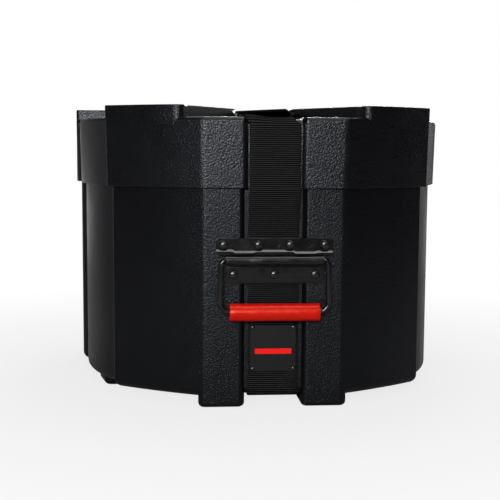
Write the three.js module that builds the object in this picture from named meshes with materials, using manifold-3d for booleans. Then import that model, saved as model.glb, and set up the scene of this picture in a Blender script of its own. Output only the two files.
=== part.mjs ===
// Drum case: a moulded D-shaped base with a lift-off lid, a strap round both and a drop handle in front.
// Millimetres, +Z up, front towards -Y. Everything is laid out round the drum's upright axis and then
// moved so that the origin is the middle of the footprint, on the floor.
import * as THREE from "three";
import { mergeVertices } from "three/addons/utils/BufferGeometryUtils.js";
import Module from "manifold-3d";

const wasm = await Module();
wasm.setup();

// Heights: the feet, the lid's rim above the floor, and what rises from the rim
const FOOT_HEIGHT = 12;
const RIM_HEIGHT = 221.5;
const NECK_HEIGHT = 28.5;
const LID_SIDE_HEIGHT = 70.5;
const CROSS_RISE = 12;

// Clearances, walls and edge rounding
const GAP = 0.3;
const WALL = 5;
const FLOOR_THICKNESS = 5;
const EDGE_ROUND = 8;
const EDGE_STEPS = 3;
const CORNER_STEPS = 3;
const BIG_CORNER_STEPS = 10;
const BIG_CORNER_FROM = 40;
const LEAST_RADIUS = 0.2;
const CUT_PAST = 1;
const WELD_SPAN = 1e-4;

// Plan of the base, right half: flat front face, angled wing, round body, square back corner
const FACE_REACH = 190;
const CREASE_SIDE = 70;
const CREASE_ROUND = 6;
const WING_SIDE = 162;
const WING_REACH = 132.5;
const WING_ROUND = 9;
const BODY_RADIUS = 195;
const BODY_ROUND = 150;
const BODY_START_DEG = -35;
const BODY_END_DEG = 5;
const STEP_ROUND = 10;
const BLOCK_SIDE = 204;
const BLOCK_REACH = 27;
const BLOCK_ROUND = 9;
const BACK_REACH = 197;
const BACK_ROUND = 46;
const BASE_DRAFT = 0.8;
const UPRIGHT_FROM = 120;

// Strap and the channel it runs in
const STRAP_WIDTH = 50.8;
const STRAP_THICKNESS = 2.2;
const STRAP_BEND = 9;
const CHANNEL_DEPTH = 6;
const CHANNEL_FLOOR_HALF = 28.6;
const CHANNEL_MOUTH_HALF = 33.2;
const CHANNEL_REACH = 30;
const CHANNEL_SIDE_WALL = 1.6;
const LID_CHANNEL_FLOOR_HALF = 27.4;
const LID_CHANNEL_MOUTH_HALF = 30.8;
const GROOVE_DEPTH = 0.6;
const STRAP_TUCK_DROP = 45.5;

// Lid: how far it stands out past the base, its raised cross and its hollow
const LID_OUT_AT_RIM = 5.2;
const LID_OUT_AT_TOP = 8;
const LID_CHANNEL_OUT = 3.4;
const LID_LIP = 0.8;
const LID_SHOULDER = 9;
const LID_SHOULDER_OUT = 9.5;
const LID_SLEEVE = 0.9;
const SHELF_IN = 4.6;
const SHELF_HEIGHT = 6;
const HOLLOW_OUT = 1.8;
const CROSS_FOOT = 2;
const CROSS_DRAFT = 1.4;
const CROSS_BEVEL = 2.2;
const CROSS_ROUND = 8;
const CROSS_FAR = 250;
const CROSS_CHANNEL_HALF = 34;
const CROSS_FRONT_INNER = 72;
const CROSS_KNEE_SIDE = 86;
const CROSS_KNEE_REACH = 164;
const CROSS_KNEE_ROUND = 24;
const CROSS_FRONT_SIDE = 92;
const CROSS_FRONT_REACH = 216;
const CROSS_WING_SIDE = 168;
const CROSS_WING_REACH = 114;
const CROSS_WAIST_SIDE = 118;
const CROSS_WAIST_FRONT = 62;
const CROSS_WAIST_BACK = 8;
const CROSS_BLOCK_SIDE = 150;
const CROSS_BLOCK_REACH = 24;
const CROSS_BACK_SIDE = 112;
const CROSS_BACK_INNER = 80;

// Stacking feet: the front ones carry the face on down, just inside it
const FOOT_INNER = 28.8;
const FOOT_MOUTH_SIDE = 32.2;
const FOOT_OUTER = 76.8;
const FOOT_FRONT = 189;
const FOOT_WING_REACH = 184.6;
const FOOT_NARROW = 46;
const FOOT_END = 110;
const FOOT_BACK = 190;
const FOOT_ROUND = 5;
const FOOT_DRAFT = 0.8;
const FOOT_EDGE = 4;
const SIDE_FOOT_REACH = 186;
const SIDE_FOOT_WAIST = 176;
const SIDE_FOOT_FRONT_SIDE = 150;
const SIDE_FOOT_FRONT = 102;
const SIDE_FOOT_BEND = 72;
const SIDE_FOOT_KNEE = 30;
const SIDE_FOOT_BACK = 2;
const SIDE_FOOT_INNER = 130;
const SIDE_FOOT_INNER_FRONT = 62;

// Foam lining
const DRUM_RADIUS = 162;
const LINER_IN = 9.5;
const LINER_FRONT_HALF = 46;
const LINER_BEHIND_CHANNEL = 9;
const LINER_SHORT_OF_TOP = 1.5;
const FLOOR_PAD_THICKNESS = 12;
const LID_PAD_THICKNESS = 13;
const LID_PAD_RADIUS = 172;
const ROUND_SEGMENTS = 60;

// Handle: plates, rolled knuckle, wire bail and tube grip
const KNUCKLE_BELOW_RIM = 69;
const BACK_PLATE_HALF = 50.6;
const BACK_PLATE_BELOW = 1.6;
const BACK_PLATE_SHORT = 1.8;
const BACK_PLATE_THICKNESS = 1.2;
const PLATE_THICKNESS = 1.8;
const PLATE_ROUND = 3.5;
const UPPER_PLATE_HALF = 58.5;
const UPPER_PLATE_ABOVE = 7.5;
const UPPER_PLATE_HEIGHT = 10.3;
const LOWER_PLATE_HALF = 49.3;
const LOWER_PLATE_BELOW = 7.9;
const LOWER_PLATE_HEIGHT = 16.6;
const SLOT_SIDES = [-12, 10.5];
const SLOT_WIDTH = 2;
const SLOT_UP = 6;
const SLOT_HEIGHT = 7;
const TAB_SIDES = [-32, 0, 33];
const TAB_RADIUS = 6;
const TAB_DOWN = 2.3;
const TAB_PROUD = 0.8;
const KNUCKLE_HALF = 49;
const KNUCKLE_SKIN = 1.8;
const KNUCKLE_BEND = 2.4;
const KNUCKLE_START_DEG = 62;
const KNUCKLE_END_DEG = 335;
const KNUCKLE_STEPS = 12;
const BAIL_RADIUS = 2.8;
const BAIL_HALF = 54;
const BAIL_DROP = 53;
const BAIL_TUCK = 30;
const BAIL_TOP_BEND = 6;
const BAIL_LOWER_BEND = 9;
const BAIL_SIDES = 12;
const GRIP_RADIUS = 8.7;
const GRIP_HALF = 45.2;
const GRIP_EDGE = 1.2;
const GRIP_OFF_FACE = 0.6;
const GRIP_SEGMENTS = 24;

// Rivets: side and height of each, with domes in front and washers inside
const RIVET_SHANK = 2.4;
const RIVET_DOME = 4.35;
const RIVET_DOME_HEIGHT = 2.4;
const RIVET_HEAD = 4.2;
const RIVET_HEAD_HEIGHT = 1.5;
const RIVET_SEGMENTS = 14;
const DOME_STEPS = 3;
const WASHER_RADIUS = 5.6;
const WASHER_THICKNESS = 1;
const UPPER_RIVET_UP = 5.4;
const UPPER_RIVET_SIDES = [-50.8, -16, 16, 50.8];
const LOWER_RIVET_UP = 7.8;
const LOWER_RIVET_SIDES = [-41, 0, 41];

// Name plate, bare, on the strap under the grip
const NAME_HALF = 23;
const NAME_BOTTOM = 36.5;
const NAME_TOP = 82.7;
const NAME_THICKNESS = 1;
const NAME_ROUND = 3;
const NAME_RIVET_SHANK = 1.2;
const NAME_RIVET_DOME = 2.2;
const NAME_RIVET_HEIGHT = 1.1;
const NAME_RIVET_INSET = 2.4;

// Buckle on the lid: socket behind, prongs and strap bar in front
const BUCKLE_HALF = 30;
const BUCKLE_ROUND = 5;
const BUCKLE_HEIGHT = 11.2;
const BUCKLE_JOIN = 58;
const SOCKET_END = 6;
const SOCKET_HALF = 22;
const SOCKET_DEPTH = 34;
const SOCKET_SKIN_TOP = 2.4;
const SOCKET_HEIGHT = 5.4;
const WINDOW_HALF = 6;
const WINDOW_FROM_JOIN = 18;
const WINDOW_REACH = 14;
const BAR_DEPTH = 4.4;
const BAR_HALF_HEIGHT = 1.5;
const BAR_SLOT = 6;
const BAR_SLOT_HALF = 26.4;
const PRONG_LENGTH = 27;
const PRONG_SIDE = 15;
const PRONG_WIDTH = 6;
const PRONG_CATCH = 3.6;
const PRONG_CATCH_DEPTH = 7;
const GUIDE_HALF = 3.6;
const PLUG_LENGTH = 34;
const SOCKET_STRAP_LAP = 44;
const SOCKET_STRAP_SLOPE = 14;
const TAIL_LAP = 40;
const TAIL_SLOPE = 20;
const TAIL_END = 186;
const TAIL_END_LIFT = 1.6;
const LOOP_BEND = 2.8;

// Finishes
const SHELL_FINISH = { color: 0x15171b, roughness: 0.62, metalness: 0 };
const WEBBING_FINISH = { color: 0x141416, roughness: 0.85, metalness: 0 };
const FOAM_FINISH = { color: 0x2b2c30, roughness: 0.95, metalness: 0 };
const STEEL_FINISH = { color: 0x101113, roughness: 0.38, metalness: 0.3 };
const GRIP_FINISH = { color: 0xcf1d0a, roughness: 0.42, metalness: 0 };
const ZINC_FINISH = { color: 0x8d9094, roughness: 0.4, metalness: 0.9 };
const BUCKLE_FINISH = { color: 0x121315, roughness: 0.5, metalness: 0 };

// Values that follow from the ones above
const BASE_TOP = RIM_HEIGHT + NECK_HEIGHT;
const LID_LOW_TOP = RIM_HEIGHT + LID_SIDE_HEIGHT;
const LID_HIGH_TOP = LID_LOW_TOP + CROSS_RISE;
const BUCKLE_TOP = LID_LOW_TOP + BUCKLE_HEIGHT;
const STRAP_TUCK_HEIGHT = RIM_HEIGHT - STRAP_TUCK_DROP;
const KNUCKLE_HEIGHT = RIM_HEIGHT - KNUCKLE_BELOW_RIM;
const UPPER_PLATE_BOTTOM = KNUCKLE_HEIGHT + UPPER_PLATE_ABOVE;
const UPPER_PLATE_TOP = UPPER_PLATE_BOTTOM + UPPER_PLATE_HEIGHT;
const LOWER_PLATE_TOP = KNUCKLE_HEIGHT - LOWER_PLATE_BELOW;
const LOWER_PLATE_BOTTOM = LOWER_PLATE_TOP - LOWER_PLATE_HEIGHT;
const BACK_PLATE_BOTTOM = LOWER_PLATE_BOTTOM - BACK_PLATE_BELOW;
const BACK_PLATE_TOP = UPPER_PLATE_TOP - BACK_PLATE_SHORT;
const SLOT_BOTTOM = LOWER_PLATE_BOTTOM + SLOT_UP;
const SLOT_TOP = SLOT_BOTTOM + SLOT_HEIGHT;
const TAB_CENTRE = UPPER_PLATE_TOP - TAB_DOWN;
const UPPER_RIVET_HEIGHT = UPPER_PLATE_BOTTOM + UPPER_RIVET_UP;
const LOWER_RIVET_HEIGHT = LOWER_PLATE_BOTTOM + LOWER_RIVET_UP;
const STRAP_HALF = STRAP_THICKNESS / 2;
const STRAP_SEAT = STRAP_HALF + GAP;
const BASE_CHANNEL_FRONT = FACE_REACH - CHANNEL_DEPTH;
const BASE_CHANNEL_BACK = BACK_REACH - CHANNEL_DEPTH;
const LID_CHANNEL_FRONT = FACE_REACH + LID_CHANNEL_OUT;
const LID_CHANNEL_BACK = BACK_REACH + LID_CHANNEL_OUT;
const STRAP_FRONT = BASE_CHANNEL_FRONT + STRAP_SEAT;
const STRAP_BACK = BASE_CHANNEL_BACK + STRAP_SEAT;
const STRAP_LID_FRONT = LID_CHANNEL_FRONT + STRAP_SEAT;
const STRAP_LID_BACK = LID_CHANNEL_BACK + STRAP_SEAT;
const STRAP_UNDER = FOOT_HEIGHT + GROOVE_DEPTH - STRAP_SEAT;
const STRAP_OVER = LID_LOW_TOP - GROOVE_DEPTH + STRAP_SEAT;
const SECOND_LAYER = STRAP_OVER + STRAP_THICKNESS + GAP;
const THIRD_LAYER = SECOND_LAYER + STRAP_THICKNESS + GAP;
const BACK_PLATE_REAR = FACE_REACH + GAP;
const PLATE_REAR = BACK_PLATE_REAR + BACK_PLATE_THICKNESS + GAP;
const PLATE_FRONT = PLATE_REAR + PLATE_THICKNESS;
const PIVOT_REACH = FACE_REACH + GRIP_OFF_FACE + GRIP_RADIUS;
const GRIP_HEIGHT = KNUCKLE_HEIGHT - BAIL_DROP;
const KNUCKLE_MIDDLE = BAIL_RADIUS + GAP + KNUCKLE_SKIN / 2;
const NAME_REAR = STRAP_FRONT + STRAP_HALF + GAP;
const NAME_FRONT = NAME_REAR + NAME_THICKNESS;
const INNER_FACE = FACE_REACH - WALL;
const INNER_CHANNEL_FACE = BASE_CHANNEL_FRONT - WALL;
const PLUG_BOTTOM = STRAP_OVER + STRAP_HALF + GAP;
const SOCKET_CEILING = BUCKLE_TOP - SOCKET_SKIN_TOP;
const SOCKET_FLOOR = SOCKET_CEILING - SOCKET_HEIGHT;
const PLUG_JOIN = BUCKLE_JOIN + GAP;
const PLUG_FRONT = PLUG_JOIN + PLUG_LENGTH;
const FRONT_REACH = PIVOT_REACH + GRIP_RADIUS;
const REAR_REACH = BACK_REACH + LID_OUT_AT_TOP;

// Outlines with rounded corners

function corner(u, v, radius = 0) {
  return { u, v, radius };
}

function edgeNormal(from, to) {
  const length = Math.hypot(to.u - from.u, to.v - from.v);
  return { u: (to.v - from.v) / length, v: (from.u - to.u) / length };
}

function movedCorner(at, before, after, grow) {
  const share = 1 + before.u * after.u + before.v * after.v;
  const sum = { u: before.u + after.u, v: before.v + after.v };
  const sharp = () => new THREE.Vector2(at.u + (sum.u * grow) / share, at.v + (sum.v * grow) / share);
  if (at.radius === 0) {
    return [sharp()];
  }
  const steps = at.radius > BIG_CORNER_FROM ? BIG_CORNER_STEPS : CORNER_STEPS;
  const outward = before.u * after.v - before.v * after.u > 0 ? 1 : -1;
  const radius = at.radius + outward * grow;
  if (radius < LEAST_RADIUS) {
    return Array.from({ length: steps + 1 }, sharp);
  }
  const centreU = at.u - (outward * sum.u * at.radius) / share;
  const centreV = at.v - (outward * sum.v * at.radius) / share;
  const start = Math.atan2(before.v, before.u);
  const turn = Math.atan2(before.u * after.v - before.v * after.u, before.u * after.u + before.v * after.v);
  return Array.from({ length: steps + 1 }, (_, step) => {
    const angle = start + (turn * step) / steps;
    return new THREE.Vector2(
      centreU + outward * radius * Math.cos(angle),
      centreV + outward * radius * Math.sin(angle),
    );
  });
}

// A closed outline, or an open line with square ends, moved outwards by grow
function outline(corners, grow, closed = true) {
  const points = [];
  corners.forEach((at, index) => {
    const first = index === 0 && !closed;
    const last = index === corners.length - 1 && !closed;
    const previous = corners[(index + corners.length - 1) % corners.length];
    const next = corners[(index + 1) % corners.length];
    const after = last ? edgeNormal(previous, at) : edgeNormal(at, next);
    const before = first ? after : edgeNormal(previous, at);
    points.push(...movedCorner(at, before, after, grow));
  });
  return points;
}

function mirrored(rightHalf) {
  const leftHalf = rightHalf.map((at) => corner(-at.u, at.v, at.radius)).reverse();
  return [...rightHalf, ...leftHalf];
}

// Levels of a quarter-round edge between a flat face at height z and a side that stands at grow
function roundedEdge(z, grow, radius, direction) {
  const levels = [];
  for (let step = 0; step <= EDGE_STEPS; step += 1) {
    const angle = (Math.PI / 2) * (step / EDGE_STEPS);
    levels.push([z + direction * radius * (1 - Math.cos(angle)), grow - radius * (1 - Math.sin(angle))]);
  }
  return direction > 0 ? levels : levels.reverse();
}

// Solids

function cleaned(geometry) {
  const bare = new THREE.BufferGeometry();
  bare.setAttribute("position", geometry.getAttribute("position").clone());
  if (geometry.index) {
    bare.setIndex(geometry.index.clone());
  }
  const merged = mergeVertices(bare, WELD_SPAN);
  const kept = [];
  const index = merged.index.array;
  for (let face = 0; face < index.length; face += 3) {
    const [a, b, c] = [index[face], index[face + 1], index[face + 2]];
    if (a !== b && b !== c && c !== a) {
      kept.push(a, b, c);
    }
  }
  merged.setIndex(kept);
  return facingOut(merged);
}

function facingOut(geometry) {
  const position = geometry.getAttribute("position");
  const index = geometry.index.array;
  const [a, b, c] = [new THREE.Vector3(), new THREE.Vector3(), new THREE.Vector3()];
  let volume = 0;
  for (let face = 0; face < index.length; face += 3) {
    a.fromBufferAttribute(position, index[face]);
    b.fromBufferAttribute(position, index[face + 1]);
    c.fromBufferAttribute(position, index[face + 2]);
    volume += a.dot(b.cross(c));
  }
  if (volume < 0) {
    geometry.setIndex(Array.from(index).reverse());
  }
  return geometry;
}

// Skins a stack of matching rings and closes both ends
function skin(rings, contour) {
  const count = contour.length;
  const faces = [];
  for (let level = 0; level < rings.length - 1; level += 1) {
    for (let point = 0; point < count; point += 1) {
      const a = level * count + point;
      const b = level * count + ((point + 1) % count);
      faces.push(a, b, b + count, a, b + count, a + count);
    }
  }
  const top = (rings.length - 1) * count;
  for (const [a, b, c] of THREE.ShapeUtils.triangulateShape(contour, [])) {
    faces.push(c, b, a, top + a, top + b, top + c);
  }
  const geometry = new THREE.BufferGeometry();
  geometry.setAttribute("position", new THREE.Float32BufferAttribute(rings.flat(2), 3));
  geometry.setIndex(faces);
  return facingOut(geometry);
}

// Plan outline stacked upwards: each level is a height and how far the outline grows there
function slab(corners, levels) {
  const rings = levels.map(([z, grow]) => outline(corners, grow).map((point) => [point.x, point.y, z]));
  return skin(rings, outline(corners, 0));
}

// Front outline, given as side and height, carried from a rear to a front reach
function upright(corners, rear, front) {
  const contour = outline(corners, 0);
  const rings = [rear, front].map((reach) => contour.map((point) => [point.x, -reach, point.y]));
  return skin(rings, contour);
}

// Band that follows a line in the side view, with its own inner and outer offset at each side position
function band(line, sections) {
  const contourOf = ({ inner, outer }) => [
    ...outline(line, outer, false),
    ...outline(line, inner, false).reverse(),
  ];
  const rings = sections.map((section) => contourOf(section).map((point) => [section.side, point.x, point.y]));
  return skin(rings, contourOf(sections[0]));
}

function strapBand(line) {
  return band(line, [
    { side: -STRAP_WIDTH / 2, inner: -STRAP_HALF, outer: STRAP_HALF },
    { side: STRAP_WIDTH / 2, inner: -STRAP_HALF, outer: STRAP_HALF },
  ]);
}

function channelBand(line, floorHalf, mouthHalf, floorIn, mouthOut) {
  const floor = { inner: -floorIn, outer: CHANNEL_REACH };
  const mouth = { inner: mouthOut, outer: CHANNEL_REACH };
  return band(line, [
    { side: -mouthHalf, ...mouth },
    { side: -floorHalf, ...floor },
    { side: floorHalf, ...floor },
    { side: mouthHalf, ...mouth },
  ]);
}

function turned(profile, segments) {
  return cleaned(new THREE.LatheGeometry(profile.map(([radius, along]) => new THREE.Vector2(radius, along)), segments));
}

function block([sideFrom, sideTo], [depthFrom, depthTo], [heightFrom, heightTo]) {
  const geometry = new THREE.BoxGeometry(sideTo - sideFrom, depthTo - depthFrom, heightTo - heightFrom);
  geometry.translate((sideFrom + sideTo) / 2, (depthFrom + depthTo) / 2, (heightFrom + heightTo) / 2);
  return cleaned(geometry);
}

function rodAlongY(radius, rear, front, side, height) {
  const geometry = new THREE.CylinderGeometry(radius, radius, Math.abs(rear - front), RIVET_SEGMENTS);
  geometry.translate(side, -(rear + front) / 2, height);
  return cleaned(geometry);
}

function discAt(radius, bottom, top) {
  const geometry = new THREE.CylinderGeometry(radius, radius, top - bottom, ROUND_SEGMENTS);
  geometry.rotateX(Math.PI / 2);
  geometry.translate(0, 0, (bottom + top) / 2);
  return cleaned(geometry);
}

function solid(geometry) {
  const clean = cleaned(geometry);
  return new wasm.Manifold(new wasm.Mesh({
    numProp: 3,
    vertProperties: new Float32Array(clean.getAttribute("position").array),
    triVerts: new Uint32Array(clean.index.array),
  }));
}

function union(pieces) {
  return pieces.map(solid).reduce((whole, piece) => whole.add(piece));
}

function cut(whole, cutters) {
  return cutters.reduce((rest, cutter) => rest.subtract(solid(cutter)), whole);
}

function shape(whole) {
  const mesh = whole.getMesh();
  const geometry = new THREE.BufferGeometry();
  geometry.setAttribute("position", new THREE.BufferAttribute(new Float32Array(mesh.vertProperties), 3));
  geometry.setIndex(new THREE.BufferAttribute(new Uint32Array(mesh.triVerts), 1));
  return geometry;
}

function piece(name, geometry, finish) {
  const mesh = new THREE.Mesh(geometry, new THREE.MeshStandardMaterial(finish));
  mesh.name = name;
  return mesh;
}

// Plan outlines of the case

function onBody(degrees, radius) {
  const angle = THREE.MathUtils.degToRad(degrees);
  return [radius * Math.cos(angle), radius * Math.sin(angle)];
}

function casePlan() {
  const halfSpan = THREE.MathUtils.degToRad((BODY_END_DEG - BODY_START_DEG) / 2);
  const middle = onBody((BODY_START_DEG + BODY_END_DEG) / 2, BODY_RADIUS / Math.cos(halfSpan));
  return mirrored([
    corner(CREASE_SIDE, -FACE_REACH, CREASE_ROUND),
    corner(WING_SIDE, -WING_REACH, WING_ROUND),
    corner(...onBody(BODY_START_DEG, BODY_RADIUS), STEP_ROUND),
    corner(...middle, BODY_ROUND),
    corner(...onBody(BODY_END_DEG, BODY_RADIUS), STEP_ROUND),
    corner(BLOCK_SIDE, BLOCK_REACH, BLOCK_ROUND),
    corner(BLOCK_SIDE, BACK_REACH, BACK_ROUND),
  ]);
}

// Right half of the raised cross on the lid, from the front of the strap's channel round to its back
function crossPlan() {
  return [
    corner(CROSS_CHANNEL_HALF, -CROSS_FRONT_INNER, CROSS_ROUND),
    corner(CROSS_KNEE_SIDE, -CROSS_KNEE_REACH, CROSS_KNEE_ROUND),
    corner(CROSS_FRONT_SIDE, -CROSS_FRONT_REACH),
    corner(CROSS_FAR, -CROSS_FRONT_REACH),
    corner(CROSS_FAR, -CROSS_WING_REACH),
    corner(CROSS_WING_SIDE, -CROSS_WING_REACH, CROSS_ROUND),
    corner(CROSS_WAIST_SIDE, -CROSS_WAIST_FRONT, CROSS_ROUND),
    corner(CROSS_WAIST_SIDE, -CROSS_WAIST_BACK, CROSS_ROUND),
    corner(CROSS_BLOCK_SIDE, CROSS_BLOCK_REACH, CROSS_ROUND),
    corner(CROSS_FAR, CROSS_BLOCK_REACH),
    corner(CROSS_FAR, CROSS_FRONT_REACH),
    corner(CROSS_BACK_SIDE, CROSS_FRONT_REACH),
    corner(CROSS_CHANNEL_HALF, CROSS_BACK_INNER, CROSS_ROUND),
  ];
}

function otherSide(corners) {
  return corners.map((at) => corner(-at.u, at.v, at.radius)).reverse();
}

function bothSides(corners, levels) {
  return [slab(corners, levels), slab(otherSide(corners), levels)];
}

const PLAN = casePlan();
const CROSS = crossPlan();

// Lines that the strap and its channels follow, seen from the side as depth and height

function baseChannelLine() {
  const above = BASE_TOP + CUT_PAST;
  return [
    corner(-STRAP_FRONT, above),
    corner(-STRAP_FRONT, STRAP_UNDER, STRAP_BEND),
    corner(STRAP_BACK, STRAP_UNDER, STRAP_BEND),
    corner(STRAP_BACK, above),
  ];
}

function lidChannelLine() {
  const below = RIM_HEIGHT - CUT_PAST;
  return [
    corner(STRAP_LID_BACK, below),
    corner(STRAP_LID_BACK, STRAP_OVER, STRAP_BEND),
    corner(-STRAP_LID_FRONT, STRAP_OVER, STRAP_BEND),
    corner(-STRAP_LID_FRONT, below),
  ];
}

// Shells

function frontFoot() {
  return [
    corner(FOOT_INNER, -BASE_CHANNEL_FRONT),
    corner(FOOT_MOUTH_SIDE, -FOOT_FRONT),
    corner(CREASE_SIDE, -FOOT_FRONT, CREASE_ROUND),
    corner(FOOT_OUTER, -FOOT_WING_REACH, FOOT_ROUND),
    corner(FOOT_NARROW, -FOOT_END, FOOT_ROUND),
    corner(FOOT_INNER, -FOOT_END, FOOT_ROUND),
  ];
}

function backFoot() {
  return [
    corner(FOOT_INNER, FOOT_END, FOOT_ROUND),
    corner(FOOT_NARROW, FOOT_END, FOOT_ROUND),
    corner(FOOT_OUTER, FOOT_BACK, FOOT_ROUND),
    corner(FOOT_INNER, FOOT_BACK, FOOT_ROUND),
  ];
}

function sideFoot() {
  return [
    corner(SIDE_FOOT_FRONT_SIDE, -SIDE_FOOT_FRONT, FOOT_ROUND),
    corner(SIDE_FOOT_WAIST, -SIDE_FOOT_BEND, FOOT_ROUND),
    corner(SIDE_FOOT_REACH, -SIDE_FOOT_KNEE, FOOT_ROUND),
    corner(SIDE_FOOT_REACH, SIDE_FOOT_BACK, FOOT_ROUND),
    corner(SIDE_FOOT_INNER, SIDE_FOOT_BACK, FOOT_ROUND),
    corner(SIDE_FOOT_INNER, -SIDE_FOOT_INNER_FRONT, FOOT_ROUND),
  ];
}

function baseShell() {
  const floor = FOOT_HEIGHT + FLOOR_THICKNESS;
  const outside = solid(slab(PLAN, [
    ...roundedEdge(FOOT_HEIGHT, -BASE_DRAFT, EDGE_ROUND, 1),
    [UPRIGHT_FROM, 0],
    [BASE_TOP, 0],
  ]));
  const line = baseChannelLine();
  const faceOut = CHANNEL_DEPTH - STRAP_SEAT;
  const channel = channelBand(line, CHANNEL_FLOOR_HALF, CHANNEL_MOUTH_HALF, STRAP_SEAT, faceOut + CUT_PAST);
  const channelWall = channelBand(
    line,
    CHANNEL_FLOOR_HALF + CHANNEL_SIDE_WALL,
    CHANNEL_MOUTH_HALF + CHANNEL_SIDE_WALL,
    STRAP_SEAT + WALL,
    faceOut + CUT_PAST - WALL,
  );
  const hollow = solid(slab(PLAN, [
    ...roundedEdge(floor, -WALL - BASE_DRAFT, EDGE_ROUND - WALL, 1),
    [UPRIGHT_FROM, -WALL],
    [BASE_TOP + CUT_PAST, -WALL],
  ])).subtract(solid(channelWall));
  const footLevels = [
    ...roundedEdge(0, -FOOT_DRAFT, FOOT_EDGE, 1),
    [FOOT_HEIGHT + EDGE_ROUND, 0],
  ];
  const feet = [frontFoot(), backFoot(), sideFoot()].flatMap((corners) => bothSides(corners, footLevels));
  const shell = cut(outside, [channel]);
  const standing = feet.map(solid).reduce((whole, foot) => whole.add(foot), shell);
  return shape(cut(standing.subtract(hollow), rivetHoles()));
}

function lidShell() {
  const outside = solid(slab(PLAN, [
    [RIM_HEIGHT, LID_OUT_AT_RIM - LID_LIP],
    [RIM_HEIGHT + LID_LIP, LID_OUT_AT_RIM],
    ...roundedEdge(LID_HIGH_TOP, LID_OUT_AT_TOP, EDGE_ROUND, -1),
  ]));
  const low = solid(slab(PLAN, [
    [RIM_HEIGHT - CUT_PAST, LID_SHOULDER_OUT],
    [LID_LOW_TOP - LID_SHOULDER, LID_SHOULDER_OUT],
    ...roundedEdge(LID_LOW_TOP, LID_OUT_AT_TOP, EDGE_ROUND, -1),
  ]));
  const cross = bothSides(CROSS, [
    [LID_LOW_TOP - LID_SHOULDER, CROSS_FOOT],
    [LID_HIGH_TOP - CROSS_BEVEL, CROSS_FOOT - CROSS_DRAFT],
    [LID_HIGH_TOP + GAP, CROSS_FOOT - CROSS_DRAFT - CROSS_BEVEL],
  ]);
  const blank = outside.intersect(cross.map(solid).reduce((whole, half) => whole.add(half), low));
  const ceiling = LID_LOW_TOP - WALL;
  const shelf = BASE_TOP + GAP;
  const sleeve = slab(PLAN, [
    [RIM_HEIGHT - CUT_PAST, LID_SLEEVE],
    [shelf, LID_SLEEVE],
  ]);
  const room = slab(PLAN, [
    [shelf - CUT_PAST, -SHELF_IN],
    [shelf + SHELF_HEIGHT, -SHELF_IN],
    [shelf + 2 * SHELF_HEIGHT, HOLLOW_OUT],
    [ceiling, HOLLOW_OUT],
  ]);
  const channelIn = STRAP_SEAT + LID_CHANNEL_OUT - LID_SLEEVE;
  const channelWall = channelBand(
    lidChannelLine(),
    LID_CHANNEL_FLOOR_HALF + CHANNEL_SIDE_WALL,
    LID_CHANNEL_MOUTH_HALF + CHANNEL_SIDE_WALL,
    channelIn,
    CUT_PAST - channelIn,
  );
  const pockets = bothSides(CROSS, [
    [ceiling - CUT_PAST, -WALL],
    [LID_HIGH_TOP - WALL, -WALL - CROSS_DRAFT],
  ]).map(solid).map((pocket) => pocket.intersect(solid(slab(PLAN, [
    [ceiling - CUT_PAST, HOLLOW_OUT],
    [LID_HIGH_TOP - WALL, HOLLOW_OUT],
  ]))));
  const upperRoom = solid(room).subtract(solid(channelWall));
  const hollow = pockets.reduce((whole, pocket) => whole.add(pocket), upperRoom).add(solid(sleeve));
  const channel = channelBand(
    lidChannelLine(),
    LID_CHANNEL_FLOOR_HALF,
    LID_CHANNEL_MOUTH_HALF,
    STRAP_SEAT,
    LID_OUT_AT_TOP - LID_CHANNEL_OUT,
  );
  return shape(cut(blank, [channel]).subtract(hollow));
}

// Foam

function wallLiner() {
  const bottom = floorPadTop() + GAP;
  const top = BASE_TOP - LINER_SHORT_OF_TOP;
  const foam = solid(slab(PLAN, [
    [bottom, -LINER_IN],
    [top, -LINER_IN],
  ]));
  const frontCut = block(
    [-LINER_FRONT_HALF, LINER_FRONT_HALF],
    [-FACE_REACH, LINER_BEHIND_CHANNEL - BASE_CHANNEL_FRONT],
    [bottom - CUT_PAST, top + CUT_PAST],
  );
  const backCut = block(
    [-LINER_FRONT_HALF, LINER_FRONT_HALF],
    [BASE_CHANNEL_BACK - LINER_BEHIND_CHANNEL, BACK_REACH],
    [bottom - CUT_PAST, top + CUT_PAST],
  );
  const drumRoom = discAt(DRUM_RADIUS, bottom - CUT_PAST, top + CUT_PAST);
  return shape(cut(foam, [frontCut, backCut, drumRoom]));
}

function floorPadBottom() {
  return FOOT_HEIGHT + GROOVE_DEPTH + WALL + GAP;
}

function floorPadTop() {
  return floorPadBottom() + FLOOR_PAD_THICKNESS;
}

function lidPad() {
  const top = LID_LOW_TOP - WALL - GROOVE_DEPTH - GAP;
  return discAt(LID_PAD_RADIUS, top - LID_PAD_THICKNESS, top);
}

// Strap

function baseStrapLine() {
  const rim = RIM_HEIGHT - GAP;
  return [
    corner(-STRAP_LID_FRONT, rim),
    corner(-STRAP_FRONT, STRAP_TUCK_HEIGHT, STRAP_BEND),
    corner(-STRAP_FRONT, STRAP_UNDER, STRAP_BEND),
    corner(STRAP_BACK, STRAP_UNDER, STRAP_BEND),
    corner(STRAP_BACK, STRAP_TUCK_HEIGHT, STRAP_BEND),
    corner(STRAP_LID_BACK, rim),
  ];
}

function strapHoles() {
  const rear = BASE_CHANNEL_FRONT;
  const front = STRAP_FRONT + CUT_PAST + STRAP_THICKNESS;
  const clear = (radius) => radius + GAP;
  return [
    ...middleRivets().map(([side, height]) => rodAlongY(clear(RIVET_SHANK), rear, front, side, height)),
    ...nameRivets().map(([side, height]) => rodAlongY(clear(NAME_RIVET_SHANK), rear, front, side, height)),
  ];
}

function lidFrontStrapLine() {
  return [
    corner(-BUCKLE_JOIN - GAP, STRAP_OVER),
    corner(-STRAP_LID_FRONT, STRAP_OVER, STRAP_BEND),
    corner(-STRAP_LID_FRONT, RIM_HEIGHT + GAP),
  ];
}

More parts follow.
